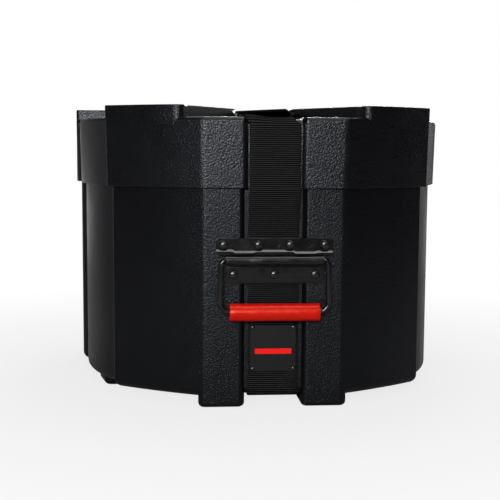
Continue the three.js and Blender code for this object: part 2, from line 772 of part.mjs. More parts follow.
// The back strap climbs over the lid, passes under the socket's bar and is sewn back on itself
function lidBackStrapLine() {
  const turn = -SOCKET_END - BAR_DEPTH - BAR_SLOT / 2;
  const over = barMiddle() + BAR_HALF_HEIGHT + GAP + STRAP_HALF;
  const lapEnd = SOCKET_STRAP_LAP;
  return [
    corner(STRAP_LID_BACK, RIM_HEIGHT + GAP),
    corner(STRAP_LID_BACK, STRAP_OVER, STRAP_BEND),
    corner(turn, STRAP_OVER, LOOP_BEND),
    corner(turn, over, LOOP_BEND),
    corner(SOCKET_END, over, LOOP_BEND),
    corner(SOCKET_END + SOCKET_STRAP_SLOPE, SECOND_LAYER, LOOP_BEND),
    corner(lapEnd, SECOND_LAYER),
  ];
}

// The free tail starts on the front strap, wraps the plug's bar and runs back out to the lid's edge
function tailLine() {
  const turn = -PLUG_FRONT + BAR_DEPTH + BAR_SLOT / 2;
  const over = barMiddle() + BAR_HALF_HEIGHT + GAP + STRAP_HALF;
  return [
    corner(-PLUG_FRONT - TAIL_LAP, SECOND_LAYER),
    corner(turn, SECOND_LAYER, LOOP_BEND),
    corner(turn, over, LOOP_BEND),
    corner(-PLUG_FRONT - LOOP_BEND, over, LOOP_BEND),
    corner(-PLUG_FRONT - TAIL_SLOPE, THIRD_LAYER, LOOP_BEND),
    corner(-TAIL_END + TAIL_SLOPE, THIRD_LAYER, LOOP_BEND),
    corner(-TAIL_END, THIRD_LAYER + TAIL_END_LIFT),
  ];
}

// Buckle

function barMiddle() {
  return SECOND_LAYER + STRAP_HALF + GAP + BAR_HALF_HEIGHT;
}

function buckleOutline(near, far) {
  return [
    corner(BUCKLE_HALF, -far, BUCKLE_ROUND),
    corner(BUCKLE_HALF, -near, BUCKLE_ROUND),
    corner(-BUCKLE_HALF, -near, BUCKLE_ROUND),
    corner(-BUCKLE_HALF, -far, BUCKLE_ROUND),
  ];
}

// Cuts that leave a slim bar across the strap slot, between two reaches
function barCuts(slotNear, slotFar, barNear, barFar, bottom) {
  const side = [-BAR_SLOT_HALF, BAR_SLOT_HALF];
  const outer = [bottom - CUT_PAST, BUCKLE_TOP + CUT_PAST];
  return [
    block(side, [-slotFar, -slotNear], outer),
    block(side, [-barFar, -barNear], [outer[0], barMiddle() - BAR_HALF_HEIGHT]),
    block(side, [-barFar, -barNear], [barMiddle() + BAR_HALF_HEIGHT, outer[1]]),
  ];
}

function buckleSocket() {
  const bottom = LID_LOW_TOP + GAP;
  const body = solid(slab(buckleOutline(SOCKET_END, BUCKLE_JOIN), [
    [bottom, 0],
    [BUCKLE_TOP, 0],
  ]));
  const inside = [SOCKET_FLOOR, SOCKET_CEILING];
  const barNear = SOCKET_END - CUT_PAST;
  const slotNear = SOCKET_END + BAR_DEPTH;
  const window = [-BUCKLE_JOIN + WINDOW_FROM_JOIN - WINDOW_HALF, -BUCKLE_JOIN + WINDOW_FROM_JOIN + WINDOW_HALF];
  return shape(cut(body, [
    block([-SOCKET_HALF, SOCKET_HALF], [-BUCKLE_JOIN - CUT_PAST, SOCKET_DEPTH - BUCKLE_JOIN], inside),
    block([BUCKLE_HALF - WINDOW_REACH, BUCKLE_HALF + CUT_PAST], window, inside),
    block([-BUCKLE_HALF - CUT_PAST, WINDOW_REACH - BUCKLE_HALF], window, inside),
    ...barCuts(slotNear, slotNear + BAR_SLOT, barNear, slotNear, bottom),
  ]));
}

function bucklePlug() {
  const body = slab(buckleOutline(PLUG_JOIN, PLUG_FRONT), [
    [PLUG_BOTTOM, 0],
    [BUCKLE_TOP, 0],
  ]);
  const height = [SOCKET_FLOOR + GAP, SOCKET_CEILING - GAP];
  const root = -PLUG_JOIN - CUT_PAST;
  const tip = PRONG_LENGTH - PLUG_JOIN;
  const catchTo = tip - PRONG_CATCH_DEPTH;
  const prongs = [1, -1].flatMap((way) => {
    const sides = (from, to) => [Math.min(way * from, way * to), Math.max(way * from, way * to)];
    return [
      block(sides(PRONG_SIDE, PRONG_SIDE + PRONG_WIDTH - PRONG_CATCH), [root, tip], height),
      block(sides(PRONG_SIDE, PRONG_SIDE + PRONG_WIDTH), [catchTo, tip - CUT_PAST], height),
    ];
  });
  const guide = block([-GUIDE_HALF, GUIDE_HALF], [root, tip - CUT_PAST], height);
  const slotNear = PLUG_FRONT - BAR_DEPTH - BAR_SLOT;
  const barFar = PLUG_FRONT + CUT_PAST;
  return shape(cut(
    union([body, ...prongs, guide]),
    barCuts(slotNear, slotNear + BAR_SLOT, PLUG_FRONT - BAR_DEPTH, barFar, PLUG_BOTTOM),
  ));
}

// Handle

function plateOutline(half, bottom, top) {
  return [
    corner(-half, bottom, PLATE_ROUND),
    corner(half, bottom, PLATE_ROUND),
    corner(half, top, PLATE_ROUND),
    corner(-half, top, PLATE_ROUND),
  ];
}

function upperRivets() {
  return UPPER_RIVET_SIDES.map((side) => [side, UPPER_RIVET_HEIGHT]);
}

function lowerRivets() {
  return LOWER_RIVET_SIDES.map((side) => [side, LOWER_RIVET_HEIGHT]);
}

function middleRivets() {
  return [...upperRivets(), ...lowerRivets()].filter(([side]) => Math.abs(side) < CHANNEL_FLOOR_HALF);
}

function rodsThrough(places, rear, front) {
  return places.map(([side, height]) => rodAlongY(RIVET_SHANK + GAP, rear, front, side, height));
}

function rivetHoles() {
  const rear = INNER_CHANNEL_FACE - CUT_PAST;
  const front = FACE_REACH + CUT_PAST;
  return [
    ...rodsThrough([...upperRivets(), ...lowerRivets()], rear, front),
    ...nameRivets().map(([side, height]) => rodAlongY(NAME_RIVET_SHANK + GAP, rear, front, side, height)),
  ];
}

function backPlate() {
  const plate = upright(
    plateOutline(BACK_PLATE_HALF, BACK_PLATE_BOTTOM, BACK_PLATE_TOP),
    BACK_PLATE_REAR,
    BACK_PLATE_REAR + BACK_PLATE_THICKNESS,
  );
  const holes = rodsThrough([...upperRivets(), ...lowerRivets()], FACE_REACH, PLATE_REAR);
  return shape(cut(solid(plate), holes));
}

// Side view of the sheet that leaves the upper plate and rolls round the bail's pivot
function knuckleLine() {
  const plateMiddle = -(PLATE_REAR + PLATE_THICKNESS / 2);
  const roll = [];
  for (let step = 0; step <= KNUCKLE_STEPS; step += 1) {
    const degrees = KNUCKLE_START_DEG + ((KNUCKLE_END_DEG - KNUCKLE_START_DEG) * step) / KNUCKLE_STEPS;
    const [along, up] = onBody(degrees, KNUCKLE_MIDDLE);
    roll.push(corner(along - PIVOT_REACH, up + KNUCKLE_HEIGHT));
  }
  return [
    corner(plateMiddle, UPPER_PLATE_BOTTOM + KNUCKLE_BEND),
    corner(plateMiddle, UPPER_PLATE_BOTTOM - KNUCKLE_BEND, KNUCKLE_BEND),
    ...roll,
  ];
}

function upperPlate() {
  const plate = upright(
    plateOutline(UPPER_PLATE_HALF, UPPER_PLATE_BOTTOM, UPPER_PLATE_TOP),
    PLATE_REAR,
    PLATE_FRONT,
  );
  const half = KNUCKLE_SKIN / 2;
  const knuckle = band(knuckleLine(), [
    { side: -KNUCKLE_HALF, inner: -half, outer: half },
    { side: KNUCKLE_HALF, inner: -half, outer: half },
  ]);
  const tabs = TAB_SIDES.map((side) => rodAlongY(TAB_RADIUS, PLATE_REAR + GAP, PLATE_FRONT + TAB_PROUD, side, TAB_CENTRE));
  const aboveTop = block(
    [-UPPER_PLATE_HALF, UPPER_PLATE_HALF],
    [-PIVOT_REACH - GRIP_RADIUS, -FACE_REACH],
    [UPPER_PLATE_TOP, UPPER_PLATE_TOP + TAB_RADIUS],
  );
  const whole = cut(union([plate, knuckle, ...tabs]), [aboveTop]);
  return shape(cut(whole, rodsThrough(upperRivets(), FACE_REACH, PIVOT_REACH)));
}

function lowerPlate() {
  const plate = upright(
    plateOutline(LOWER_PLATE_HALF, LOWER_PLATE_BOTTOM, LOWER_PLATE_TOP),
    PLATE_REAR,
    PLATE_FRONT,
  );
  const slots = SLOT_SIDES.map((side) => block(
    [side - SLOT_WIDTH / 2, side + SLOT_WIDTH / 2],
    [-PLATE_FRONT - CUT_PAST, -FACE_REACH],
    [SLOT_BOTTOM, SLOT_TOP],
  ));
  return shape(cut(solid(plate), [...slots, ...rodsThrough(lowerRivets(), FACE_REACH, PIVOT_REACH)]));
}

function bail() {
  const line = [
    corner(-BAIL_TUCK, KNUCKLE_HEIGHT),
    corner(-BAIL_HALF, KNUCKLE_HEIGHT, BAIL_TOP_BEND),
    corner(-BAIL_HALF, GRIP_HEIGHT, BAIL_LOWER_BEND),
    corner(BAIL_HALF, GRIP_HEIGHT, BAIL_LOWER_BEND),
    corner(BAIL_HALF, KNUCKLE_HEIGHT, BAIL_TOP_BEND),
    corner(BAIL_TUCK, KNUCKLE_HEIGHT),
  ];
  const middle = outline(line, 0, false);
  const edge = outline(line, BAIL_RADIUS, false);
  const section = Array.from({ length: BAIL_SIDES }, (_, index) => {
    const angle = (2 * Math.PI * index) / BAIL_SIDES;
    return new THREE.Vector2(Math.cos(angle), Math.sin(angle));
  });
  const rings = middle.map((point, index) => section.map((share) => [
    point.x + (edge[index].x - point.x) * share.x,
    BAIL_RADIUS * share.y - PIVOT_REACH,
    point.y + (edge[index].y - point.y) * share.x,
  ]));
  return skin(rings, section);
}

function grip() {
  const bore = BAIL_RADIUS + GAP;
  const edge = GRIP_HALF - GRIP_EDGE;
  const profile = [
    [bore, -GRIP_HALF],
    [GRIP_RADIUS - GRIP_EDGE, -GRIP_HALF],
    [GRIP_RADIUS, -edge],
    [GRIP_RADIUS, edge],
    [GRIP_RADIUS - GRIP_EDGE, GRIP_HALF],
    [bore, GRIP_HALF],
    [bore, -GRIP_HALF],
  ];
  const geometry = turned(profile, GRIP_SEGMENTS);
  geometry.rotateZ(Math.PI / 2);
  geometry.translate(0, -PIVOT_REACH, GRIP_HEIGHT);
  return geometry;
}

// One rivet along the depth: inner head, shank and outer dome, with the dome standing on front
function rivet([side, height], { shank, dome, domeHeight, head, headHeight }, rear, front) {
  const profile = [
    [0, -(rear - headHeight)],
    [head, -(rear - headHeight)],
    [head, -rear],
    [shank, -rear],
    [shank, -front],
    [dome, -front],
  ];
  for (let step = 1; step <= DOME_STEPS; step += 1) {
    const angle = (Math.PI / 2) * (step / DOME_STEPS);
    profile.push([dome * Math.cos(angle), -front - domeHeight * Math.sin(angle)]);
  }
  profile[profile.length - 1][0] = 0;
  const geometry = turned(profile, RIVET_SEGMENTS);
  geometry.translate(side, 0, height);
  return geometry;
}

function innerFaceAt(side) {
  return Math.abs(side) < CHANNEL_FLOOR_HALF ? INNER_CHANNEL_FACE : INNER_FACE;
}

function handleRivet(place) {
  const sizes = {
    shank: RIVET_SHANK,
    dome: RIVET_DOME,
    domeHeight: RIVET_DOME_HEIGHT,
    head: RIVET_HEAD,
    headHeight: RIVET_HEAD_HEIGHT,
  };
  const rear = innerFaceAt(place[0]) - GAP - WASHER_THICKNESS - GAP;
  return rivet(place, sizes, rear, PLATE_FRONT + GAP);
}

function handleWasher([side, height]) {
  const face = innerFaceAt(side) - GAP;
  const hole = RIVET_SHANK + GAP;
  const geometry = turned([
    [hole, -face],
    [WASHER_RADIUS, -face],
    [WASHER_RADIUS, WASHER_THICKNESS - face],
    [hole, WASHER_THICKNESS - face],
    [hole, -face],
  ], RIVET_SEGMENTS);
  geometry.translate(side, 0, height);
  return geometry;
}

// Name plate

function nameRivets() {
  const side = NAME_HALF - NAME_RIVET_INSET;
  const heights = [NAME_BOTTOM + NAME_RIVET_INSET, NAME_TOP - NAME_RIVET_INSET];
  return heights.flatMap((height) => [[-side, height], [side, height]]);
}

function namePlate() {
  const corners = [
    corner(-NAME_HALF, NAME_BOTTOM, NAME_ROUND),
    corner(NAME_HALF, NAME_BOTTOM, NAME_ROUND),
    corner(NAME_HALF, NAME_TOP, NAME_ROUND),
    corner(-NAME_HALF, NAME_TOP, NAME_ROUND),
  ];
  const holes = nameRivets().map(([side, height]) => (
    rodAlongY(NAME_RIVET_SHANK + GAP, NAME_REAR - CUT_PAST, NAME_FRONT + CUT_PAST, side, height)
  ));
  return shape(cut(solid(upright(corners, NAME_REAR, NAME_FRONT)), holes));
}

function nameRivet(place) {
  const sizes = {
    shank: NAME_RIVET_SHANK,
    dome: NAME_RIVET_DOME,
    domeHeight: NAME_RIVET_HEIGHT,
    head: NAME_RIVET_DOME,
    headHeight: NAME_RIVET_HEIGHT,
  };
  return rivet(place, sizes, INNER_CHANNEL_FACE - GAP, NAME_FRONT + GAP);
}

// Assembly

// One mesh for each place, numbered in the order that the places are given
function numbered(name, places, build, finish) {
  return places.map((place, index) => piece(`${name}_${index + 1}`, build(place), finish));
}

function baseGroup() {
  const group = new THREE.Group();
  group.add(
    piece("base_shell", baseShell(), SHELL_FINISH),
    piece("base_wall_liner", wallLiner(), FOAM_FINISH),
    piece("base_floor_pad", discAt(DRUM_RADIUS, floorPadBottom(), floorPadTop()), FOAM_FINISH),
    piece("base_strap", shape(cut(solid(strapBand(baseStrapLine())), strapHoles())), WEBBING_FINISH),
    piece("name_plate", namePlate(), STEEL_FINISH),
    ...numbered("name_plate_rivet", nameRivets(), nameRivet, ZINC_FINISH),
    piece("handle_back_plate", backPlate(), STEEL_FINISH),
    piece("handle_upper_plate", upperPlate(), STEEL_FINISH),
    piece("handle_lower_plate", lowerPlate(), STEEL_FINISH),
    ...numbered("handle_upper_rivet", upperRivets(), handleRivet, STEEL_FINISH),
    ...numbered("handle_lower_rivet", lowerRivets(), handleRivet, STEEL_FINISH),
    ...numbered("handle_washer", [...upperRivets(), ...lowerRivets()], handleWasher, ZINC_FINISH),
  );
  return group;
}

function handleGroup() {
  const group = new THREE.Group();
  group.add(
    piece("handle_bail", bail(), STEEL_FINISH),
    piece("handle_grip", grip(), GRIP_FINISH),
  );
  return group;
}

function lidGroup() {
  const group = new THREE.Group();
  group.add(
    piece("lid_shell", lidShell(), SHELL_FINISH),
    piece("lid_pad", lidPad(), FOAM_FINISH),
    piece("lid_front_strap", strapBand(lidFrontStrapLine()), WEBBING_FINISH),
    piece("lid_back_strap", strapBand(lidBackStrapLine()), WEBBING_FINISH),
    piece("buckle_socket", buckleSocket(), BUCKLE_FINISH),
  );
  return group;
}

function plugGroup() {
  const group = new THREE.Group();
  group.add(
    piece("buckle_plug", bucklePlug(), BUCKLE_FINISH),
    piece("strap_tail", strapBand(tailLine()), WEBBING_FINISH),
  );
  return group;
}

function drumCase() {
  const whole = new THREE.Group();
  whole.add(baseGroup(), handleGroup(), lidGroup(), plugGroup());
  whole.position.y = (FRONT_REACH - REAR_REACH) / 2;
  return whole;
}

export default drumCase();
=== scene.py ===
"""Looks of the drum case: moulded shells, webbing, drop handle, buckle, foam and the studio.

Every piece is laid out in millimetres round the drum's upright axis, front towards -Y, and is moved
into the row frame, in metres, when it is finished.
"""
import logging
import math
from dataclasses import dataclass
from enum import Enum
from typing import Callable, Iterable, Sequence

import bmesh
import bpy
from mathutils import Matrix, Vector


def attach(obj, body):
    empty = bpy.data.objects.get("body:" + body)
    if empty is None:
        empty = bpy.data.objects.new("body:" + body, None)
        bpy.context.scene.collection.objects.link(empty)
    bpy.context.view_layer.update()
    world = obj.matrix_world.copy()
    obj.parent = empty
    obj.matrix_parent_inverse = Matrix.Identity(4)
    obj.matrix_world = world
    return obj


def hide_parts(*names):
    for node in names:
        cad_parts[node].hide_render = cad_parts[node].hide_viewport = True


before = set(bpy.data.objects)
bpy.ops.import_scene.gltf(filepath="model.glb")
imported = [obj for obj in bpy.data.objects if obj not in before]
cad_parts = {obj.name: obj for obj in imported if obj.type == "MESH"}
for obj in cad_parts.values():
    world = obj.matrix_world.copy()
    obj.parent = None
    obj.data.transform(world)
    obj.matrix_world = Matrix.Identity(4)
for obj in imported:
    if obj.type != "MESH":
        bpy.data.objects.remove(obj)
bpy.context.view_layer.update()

log = logging.getLogger("drum_case")

Solid = bmesh.types.BMesh
Vert = bmesh.types.BMVert
Edge = bmesh.types.BMEdge
Piece = bpy.types.Object
Socket = bpy.types.NodeSocket
Pair = tuple[float, float]
Triple = tuple[float, float, float]
Colour = tuple[float, float, float, float]

WHITE: Colour = (1.0, 1.0, 1.0, 1.0)
INTO_ROW = Matrix.Translation((0.0, 0.0015, 0.0)) @ Matrix.Scale(0.001, 4)
UPRIGHT = Matrix.Rotation(math.pi / 2, 3, "X")
ALONG_FRONT = Matrix(((0, 1, 0), (-1, 0, 0), (0, 0, 1)))
# Depth of the plan's middle, half way between its face and its back.
PLAN_MIDDLE = 3.5
# Heights nearer than SNAP count as one, and vertices nearer than FINE are merged.
SNAP = 1e-3
FINE = 1e-4
# Corners up to SMALLEST_ROUND stay sharp, and those from WIDE_ROUND on get finer steps.
SMALLEST_ROUND = 0.05
WIDE_ROUND = 60.0
# Where a shell's draft is measured, from the middle of its plan.
DRAFT_REACH = 200.0
FEWEST_BEND_STEPS = 8


class Part(Enum):
    """Bodies that the pieces ride on."""

    BASE = "base"
    LID = "lid"
    HANDLE = "handle"
    PLUG = "plug"


class Join(Enum):
    """How one solid meets another."""

    ADD = "UNION"
    TAKE = "DIFFERENCE"


@dataclass(frozen=True)
class Corner:
    """A corner of an outline, with the radius that it is rounded to.

    A crisp corner keeps its radius when the outline grows, and is rounded after the edges above and
    below it, because its radius is smaller than theirs.
    """

    x: float
    y: float
    round: float = 0.0
    crisp: bool = False


def path(*places: Sequence[float]) -> tuple[Corner, ...]:
    """Corners, each from its two places and, where it is rounded, its radius."""
    return tuple(Corner(*place) for place in places)


@dataclass(frozen=True)
class Outline:
    """A closed outline whose corners run anticlockwise."""

    corners: tuple[Corner, ...]

    @staticmethod
    def symmetric(right: Sequence[Corner]) -> "Outline":
        """An outline that is the same left and right, from its right half, front to back."""
        left = [Corner(-at.x, at.y, at.round, at.crisp) for at in reversed(right)]
        return Outline((*right, *left))

    @staticmethod
    def box(x: Pair, y: Pair, round: float = 0.0) -> "Outline":
        """A rectangle with equal corners."""
        (left, right), (low, high) = x, y
        return Outline(path((left, low, round), (right, low, round), (right, high, round), (left, high, round)))

    def around(self, index: int) -> tuple[Vector, Vector]:
        """Directions of the sides that meet at a corner.

        Args:
            index: place of the corner in the outline.

        Returns:
            The direction before the corner and the one after it.
        """
        before, at = self.corners[index - 1], self.corners[index]
        after = self.corners[(index + 1) % len(self.corners)]
        first = Vector((at.x - before.x, at.y - before.y)).normalized()
        second = Vector((after.x - at.x, after.y - at.y)).normalized()
        return first, second

    def grown(self, amount: float) -> "Outline":
        """The outline moved out by an amount, or in by a negative one.

        Args:
            amount: distance in millimetres.

        Returns:
            A new outline whose rounded corners stay concentric.
        """
        moved = []
        for index, at in enumerate(self.corners):
            first, second = self.around(index)
            out = Vector((first.y + second.y, -first.x - second.x))
            out *= amount / (1 + first.dot(second))
            bend = 1 if first.cross(second) > 0 else -1
            radius = max(at.round + bend * amount, 0.0) if at.round and not at.crisp else at.round
            moved.append(Corner(at.x + out.x, at.y + out.y, radius, at.crisp))
        return Outline(tuple(moved))


# Solids made with mesh operators


def smooth(value: float) -> float:
    """Eases a share between 0 and 1."""
    held = max(0.0, min(1.0, value))
    return held * held * (3 - 2 * held)


def rounding_steps(turn: float, radius: float) -> int:
    """Segments for a rounded corner, from its turn in radians and its radius."""
    degrees_each, fewest = (7.5, 3) if radius < WIDE_ROUND else (3.0, 8)
    return max(fewest, math.ceil(math.degrees(turn) / degrees_each))


def round_uprights(bm: Solid, outline: Outline, crisp: bool = False, near: float = SNAP) -> None:
    """Rounds the upright edges of a prism to the radii of its outline.

    Args:
        bm: prism that is changed.
        outline: its plan.
        crisp: whether the crisp corners are rounded, or all the others.
        near: how far from a corner its edges reach.
    """
    low, high = min(v.co.z for v in bm.verts), max(v.co.z for v in bm.verts)
    for index, at in enumerate(outline.corners):
        if at.round <= SMALLEST_ROUND or at.crisp != crisp:
            continue
        first, second = outline.around(index)
        turn = first.angle(second)
        edges = [
            edge
            for edge in bm.edges
            if all(math.hypot(v.co.x - at.x, v.co.y - at.y) < near for v in edge.verts)
            and edge.calc_face_angle(0.0) > turn / 3
            and not all(v.co.z > high - SNAP for v in edge.verts)
            and not all(v.co.z < low + SNAP for v in edge.verts)
        ]
        rounded(bm, edges, at.round * math.tan(turn / 2), rounding_steps(turn, at.round), clamp=False)


def prism(outline: Outline, bottom: float, top: float) -> Solid:
    """An upright block with rounded corners.

    Args:
        outline: plan of the block.
        bottom: height of its underside.
        top: height of its top.

    Returns:
        A closed mesh in millimetres.
    """
    bm = bmesh.new()
    face = bm.faces.new([bm.verts.new((at.x, at.y, bottom)) for at in outline.corners])
    raised = bmesh.ops.extrude_face_region(bm, geom=[face])["geom"]
    verts = [item for item in raised if isinstance(item, Vert)]
    bmesh.ops.translate(bm, verts=verts, vec=(0.0, 0.0, top - bottom))
    round_uprights(bm, outline)
    bmesh.ops.recalc_face_normals(bm, faces=bm.faces)
    return bm


def at_height(bm: Solid, height: float) -> list[Vert]:
    """Vertices that lie at a height."""
    return [v for v in bm.verts if abs(v.co.z - height) < SNAP]


def edges_at(bm: Solid, height: float) -> list[Edge]:
    """Edges that lie flat at a height."""
    return [e for e in bm.edges if all(abs(v.co.z - height) < SNAP for v in e.verts)]


def rounded(bm: Solid, edges: list[Edge], radius: float, steps: int = 5, clamp: bool = True) -> None:
    """Rounds edges with a circular bevel.

    Args:
        bm: mesh that is changed.
        edges: edges to round.
        radius: distance from each edge to where the rounding starts.
        steps: segments of the rounding.
        clamp: whether neighbouring roundings hold each other back.
    """
    bmesh.ops.bevel(
        bm,
        geom=edges,
        offset=radius,
        offset_type="OFFSET",
        segments=steps,
        profile=0.5,
        affect="EDGES",
        clamp_overlap=clamp,
        material=-1,
    )


def sharp_edges(bm: Solid, degrees: float = 60.0) -> list[Edge]:
    """Edges whose two faces meet at more than an angle."""
    limit = math.radians(degrees)
    return [e for e in bm.edges if len(e.link_faces) == 2 and e.calc_face_angle(0.0) > limit]


def drafted(bm: Solid, height: float, reach: float, growth: float) -> None:
    """Widens or narrows a prism at one of its heights.

    Args:
        bm: mesh that is changed.
        height: height whose vertices move.
        reach: distance from the middle of the plan at which the growth is measured.
        growth: distance that they move out there.
    """
    share = 1 + growth / reach
    middle = Matrix.Translation((0.0, -PLAN_MIDDLE, 0.0))
    bmesh.ops.scale(bm, verts=at_height(bm, height), vec=(share, share, 1.0), space=middle)


def as_object(bm: Solid, name: str) -> Piece:
    """A scene object that takes over a mesh under work.

    Args:
        bm: mesh under work, which is used up.
        name: name of the object.

    Returns:
        The new object.
    """
    mesh = bpy.data.meshes.new(name)
    bm.to_mesh(mesh)
    bm.free()
    made = bpy.data.objects.new(name, mesh)
    bpy.context.scene.collection.objects.link(made)
    return made


def joined(body: Solid, tool: Solid, how: Join) -> Solid:
    """Adds a solid to another, or takes it away.

    Args:
        body: solid that is changed.
        tool: solid that is added or taken away.
        how: which of the two.

    Returns:
        The new solid; both meshes given are used up.
    """
    host, guest = as_object(body, "host"), as_object(tool, "guest")
    change = host.modifiers.new("join", "BOOLEAN")
    change.object = guest
    change.operation = how.value
    change.solver = "EXACT"
    graph = bpy.context.evaluated_depsgraph_get()
    mesh = bpy.data.meshes.new_from_object(host.evaluated_get(graph))
    result = bmesh.new()
    result.from_mesh(mesh)
    for made in (host, guest):
        data = made.data
        bpy.data.objects.remove(made)
        bpy.data.meshes.remove(data)
    bpy.data.meshes.remove(mesh)
    bmesh.ops.remove_doubles(result, verts=result.verts, dist=FINE)
    return result


def merged(parts: Iterable[Solid]) -> Solid:
    """One mesh that holds several that don't touch.

    Args:
        parts: meshes, which are used up.

    Returns:
        The new mesh.
    """
    whole = bmesh.new()
    for part in parts:
        mesh = bpy.data.meshes.new("part")
        part.to_mesh(mesh)
        part.free()
        whole.from_mesh(mesh)
        bpy.data.meshes.remove(mesh)
    return whole


def mirrored_copy(bm: Solid) -> Solid:
    """The same solid on the other side of the case, facing out.

    Args:
        bm: solid that stays as it is.

    Returns:
        The mirrored solid.
    """
    other = bm.copy()
    bmesh.ops.scale(other, verts=other.verts, vec=(-1.0, 1.0, 1.0))
    bmesh.ops.reverse_faces(other, faces=other.faces)
    return other


def both_sides(right: Solid) -> Solid:
    """A solid together with its copy on the other side."""
    return merged([right, mirrored_copy(right)])


class Sweep:
    """A section carried along a line in the side view, as a closed solid."""

    def __init__(self, section: Sequence[Pair], line: Sequence[Corner], step: float = math.inf) -> None:
        """Carries the section along the whole line.

        Args:
            section: points across and out from the line.
            line: depth and height of each corner of the line.
            step: longest piece between two rings.
        """
        self.bm = bmesh.new()
        self.length = self.bm.verts.layers.float.new("along")
        self.along = 0.0
        self.step = step
        heading = Vector((line[1].x - line[0].x, line[1].y - line[0].y)).normalized()
        out = Vector((heading.y, -heading.x))
        first = line[0]
        self.ring = [self.bm.verts.new((u, first.x + out.x * n, first.y + out.y * n)) for u, n in section]
        self.bm.faces.new(self.ring)
        self.follow(line)
        self.bm.faces.new(self.ring)
        bmesh.ops.recalc_face_normals(self.bm, faces=self.bm.faces)

    def advance(self, distance: float, move: Matrix) -> None:
        """Adds a ring, which is the last one moved, and joins the two.

        Args:
            distance: length between the two rings.
            move: how the last ring is moved.
        """
        self.along += distance
        made = [self.bm.verts.new(move @ vert.co) for vert in self.ring]
        for index, vert in enumerate(made):
            vert[self.length] = self.along
            self.bm.faces.new((self.ring[index - 1], self.ring[index], vert, made[index - 1]))
        self.ring = made

    def straight(self, way: Vector, distance: float) -> None:
        """Carries the section straight on.

        Args:
            way: direction in the side view.
            distance: length of the run.
        """
        count = max(1, math.ceil(distance / self.step))
        move = Matrix.Translation(Vector((0.0, way.x, way.y)) * (distance / count))
        for _ in range(count):
            self.advance(distance / count, move)

    def bend(self, centre: Vector, angle: float, radius: float) -> None:
        """Carries the section round a bend.

        Args:
            centre: middle of the bend in the side view.
            angle: its turn in radians.
            radius: its radius.
        """
        count = max(FEWEST_BEND_STEPS, math.ceil(abs(angle) * radius / self.step))
        pin = Matrix.Translation((0.0, centre.x, centre.y))
        move = pin @ Matrix.Rotation(angle / count, 4, "X") @ pin.inverted()
        for _ in range(count):
            self.advance(abs(angle) * radius / count, move)

    def follow(self, line: Sequence[Corner]) -> None:
        """Runs along every straight and bend of the line.

        Args:
            line: depth and height of each corner of the line.
        """
        place = Vector((line[0].x, line[0].y))
        for index in range(1, len(line)):
            at = Vector((line[index].x, line[index].y))
            way = (at - place).normalized()
            last = index == len(line) - 1
            if last or not line[index].round:
                self.straight(way, (at - place).length)
                place = at
                if last:
                    return
            after = (Vector((line[index + 1].x, line[index + 1].y)) - at).normalized()
            angle = math.atan2(way.cross(after), way.dot(after))
            radius = line[index].round
            if not radius or abs(angle) < FINE:
                continue
            back = radius * math.tan(abs(angle) / 2)
            self.straight(way, (at - place).length - back)
            left = Vector((-way.y, way.x)) * (1 if angle > 0 else -1)
            centre = at - way * back + left * radius
            self.bend(centre, angle, radius)
            place = at + after * back


def turned(profile: Sequence[Pair], steps: int) -> Solid:
    """A solid of revolution round the Y axis.

    Args:
        profile: radius and place along the axis of each point, from one end to the other.
        steps: segments round the axis.

    Returns:
        A closed mesh.
    """
    bm = bmesh.new()
    verts = [bm.verts.new((radius, along, 0.0)) for radius, along in profile]
    edges = [bm.edges.new(pair) for pair in zip(verts, verts[1:])]
    if profile[0] == profile[-1]:
        bmesh.ops.remove_doubles(bm, verts=bm.verts, dist=FINE)
        verts, edges = list(bm.verts), list(bm.edges)
    bmesh.ops.spin(
        bm,
        geom=verts + edges,
        cent=(0.0, 0.0, 0.0),
        axis=(0.0, 1.0, 0.0),
        angle=2 * math.pi,
        steps=steps,
        use_merge=True,
    )
    bmesh.ops.remove_doubles(bm, verts=bm.verts, dist=FINE)
    bmesh.ops.recalc_face_normals(bm, faces=bm.faces)
    return bm


def moved(bm: Solid, x: float = 0.0, y: float = 0.0, z: float = 0.0) -> Solid:
    """The same mesh, moved."""
    bmesh.ops.translate(bm, verts=bm.verts, vec=(x, y, z))
    return bm


def swung(bm: Solid, turn: Matrix) -> Solid:
    """The same mesh, turned about the origin."""
    bmesh.ops.rotate(bm, verts=bm.verts, cent=(0.0, 0.0, 0.0), matrix=turn)
    return bm


def stood_up(bm: Solid, front: float) -> Solid:
    """Stands a flat prism up so that its plan faces the front, with its zero height at a reach towards -Y."""
    return moved(swung(bm, UPRIGHT), y=-front)


def upright_plate(x: Pair, z: Pair, y: Pair, corner: float, edge: float, steps: int) -> Solid:
    """A thin plate that faces the front, with soft edges all round.

    Args:
        x: left and right limits.
        z: low and high limits.
        y: reach of its rear and of its front, towards -Y.
        corner: radius of its corners.
        edge: rounding of its edges.
        steps: segments of that rounding.

    Returns:
        A closed mesh.
    """
    flat = prism(Outline.box(x, z, corner), 0.0, y[1] - y[0])
    rounded(flat, sharp_edges(flat), edge, steps)
    return stood_up(flat, y[0])


# Finishes


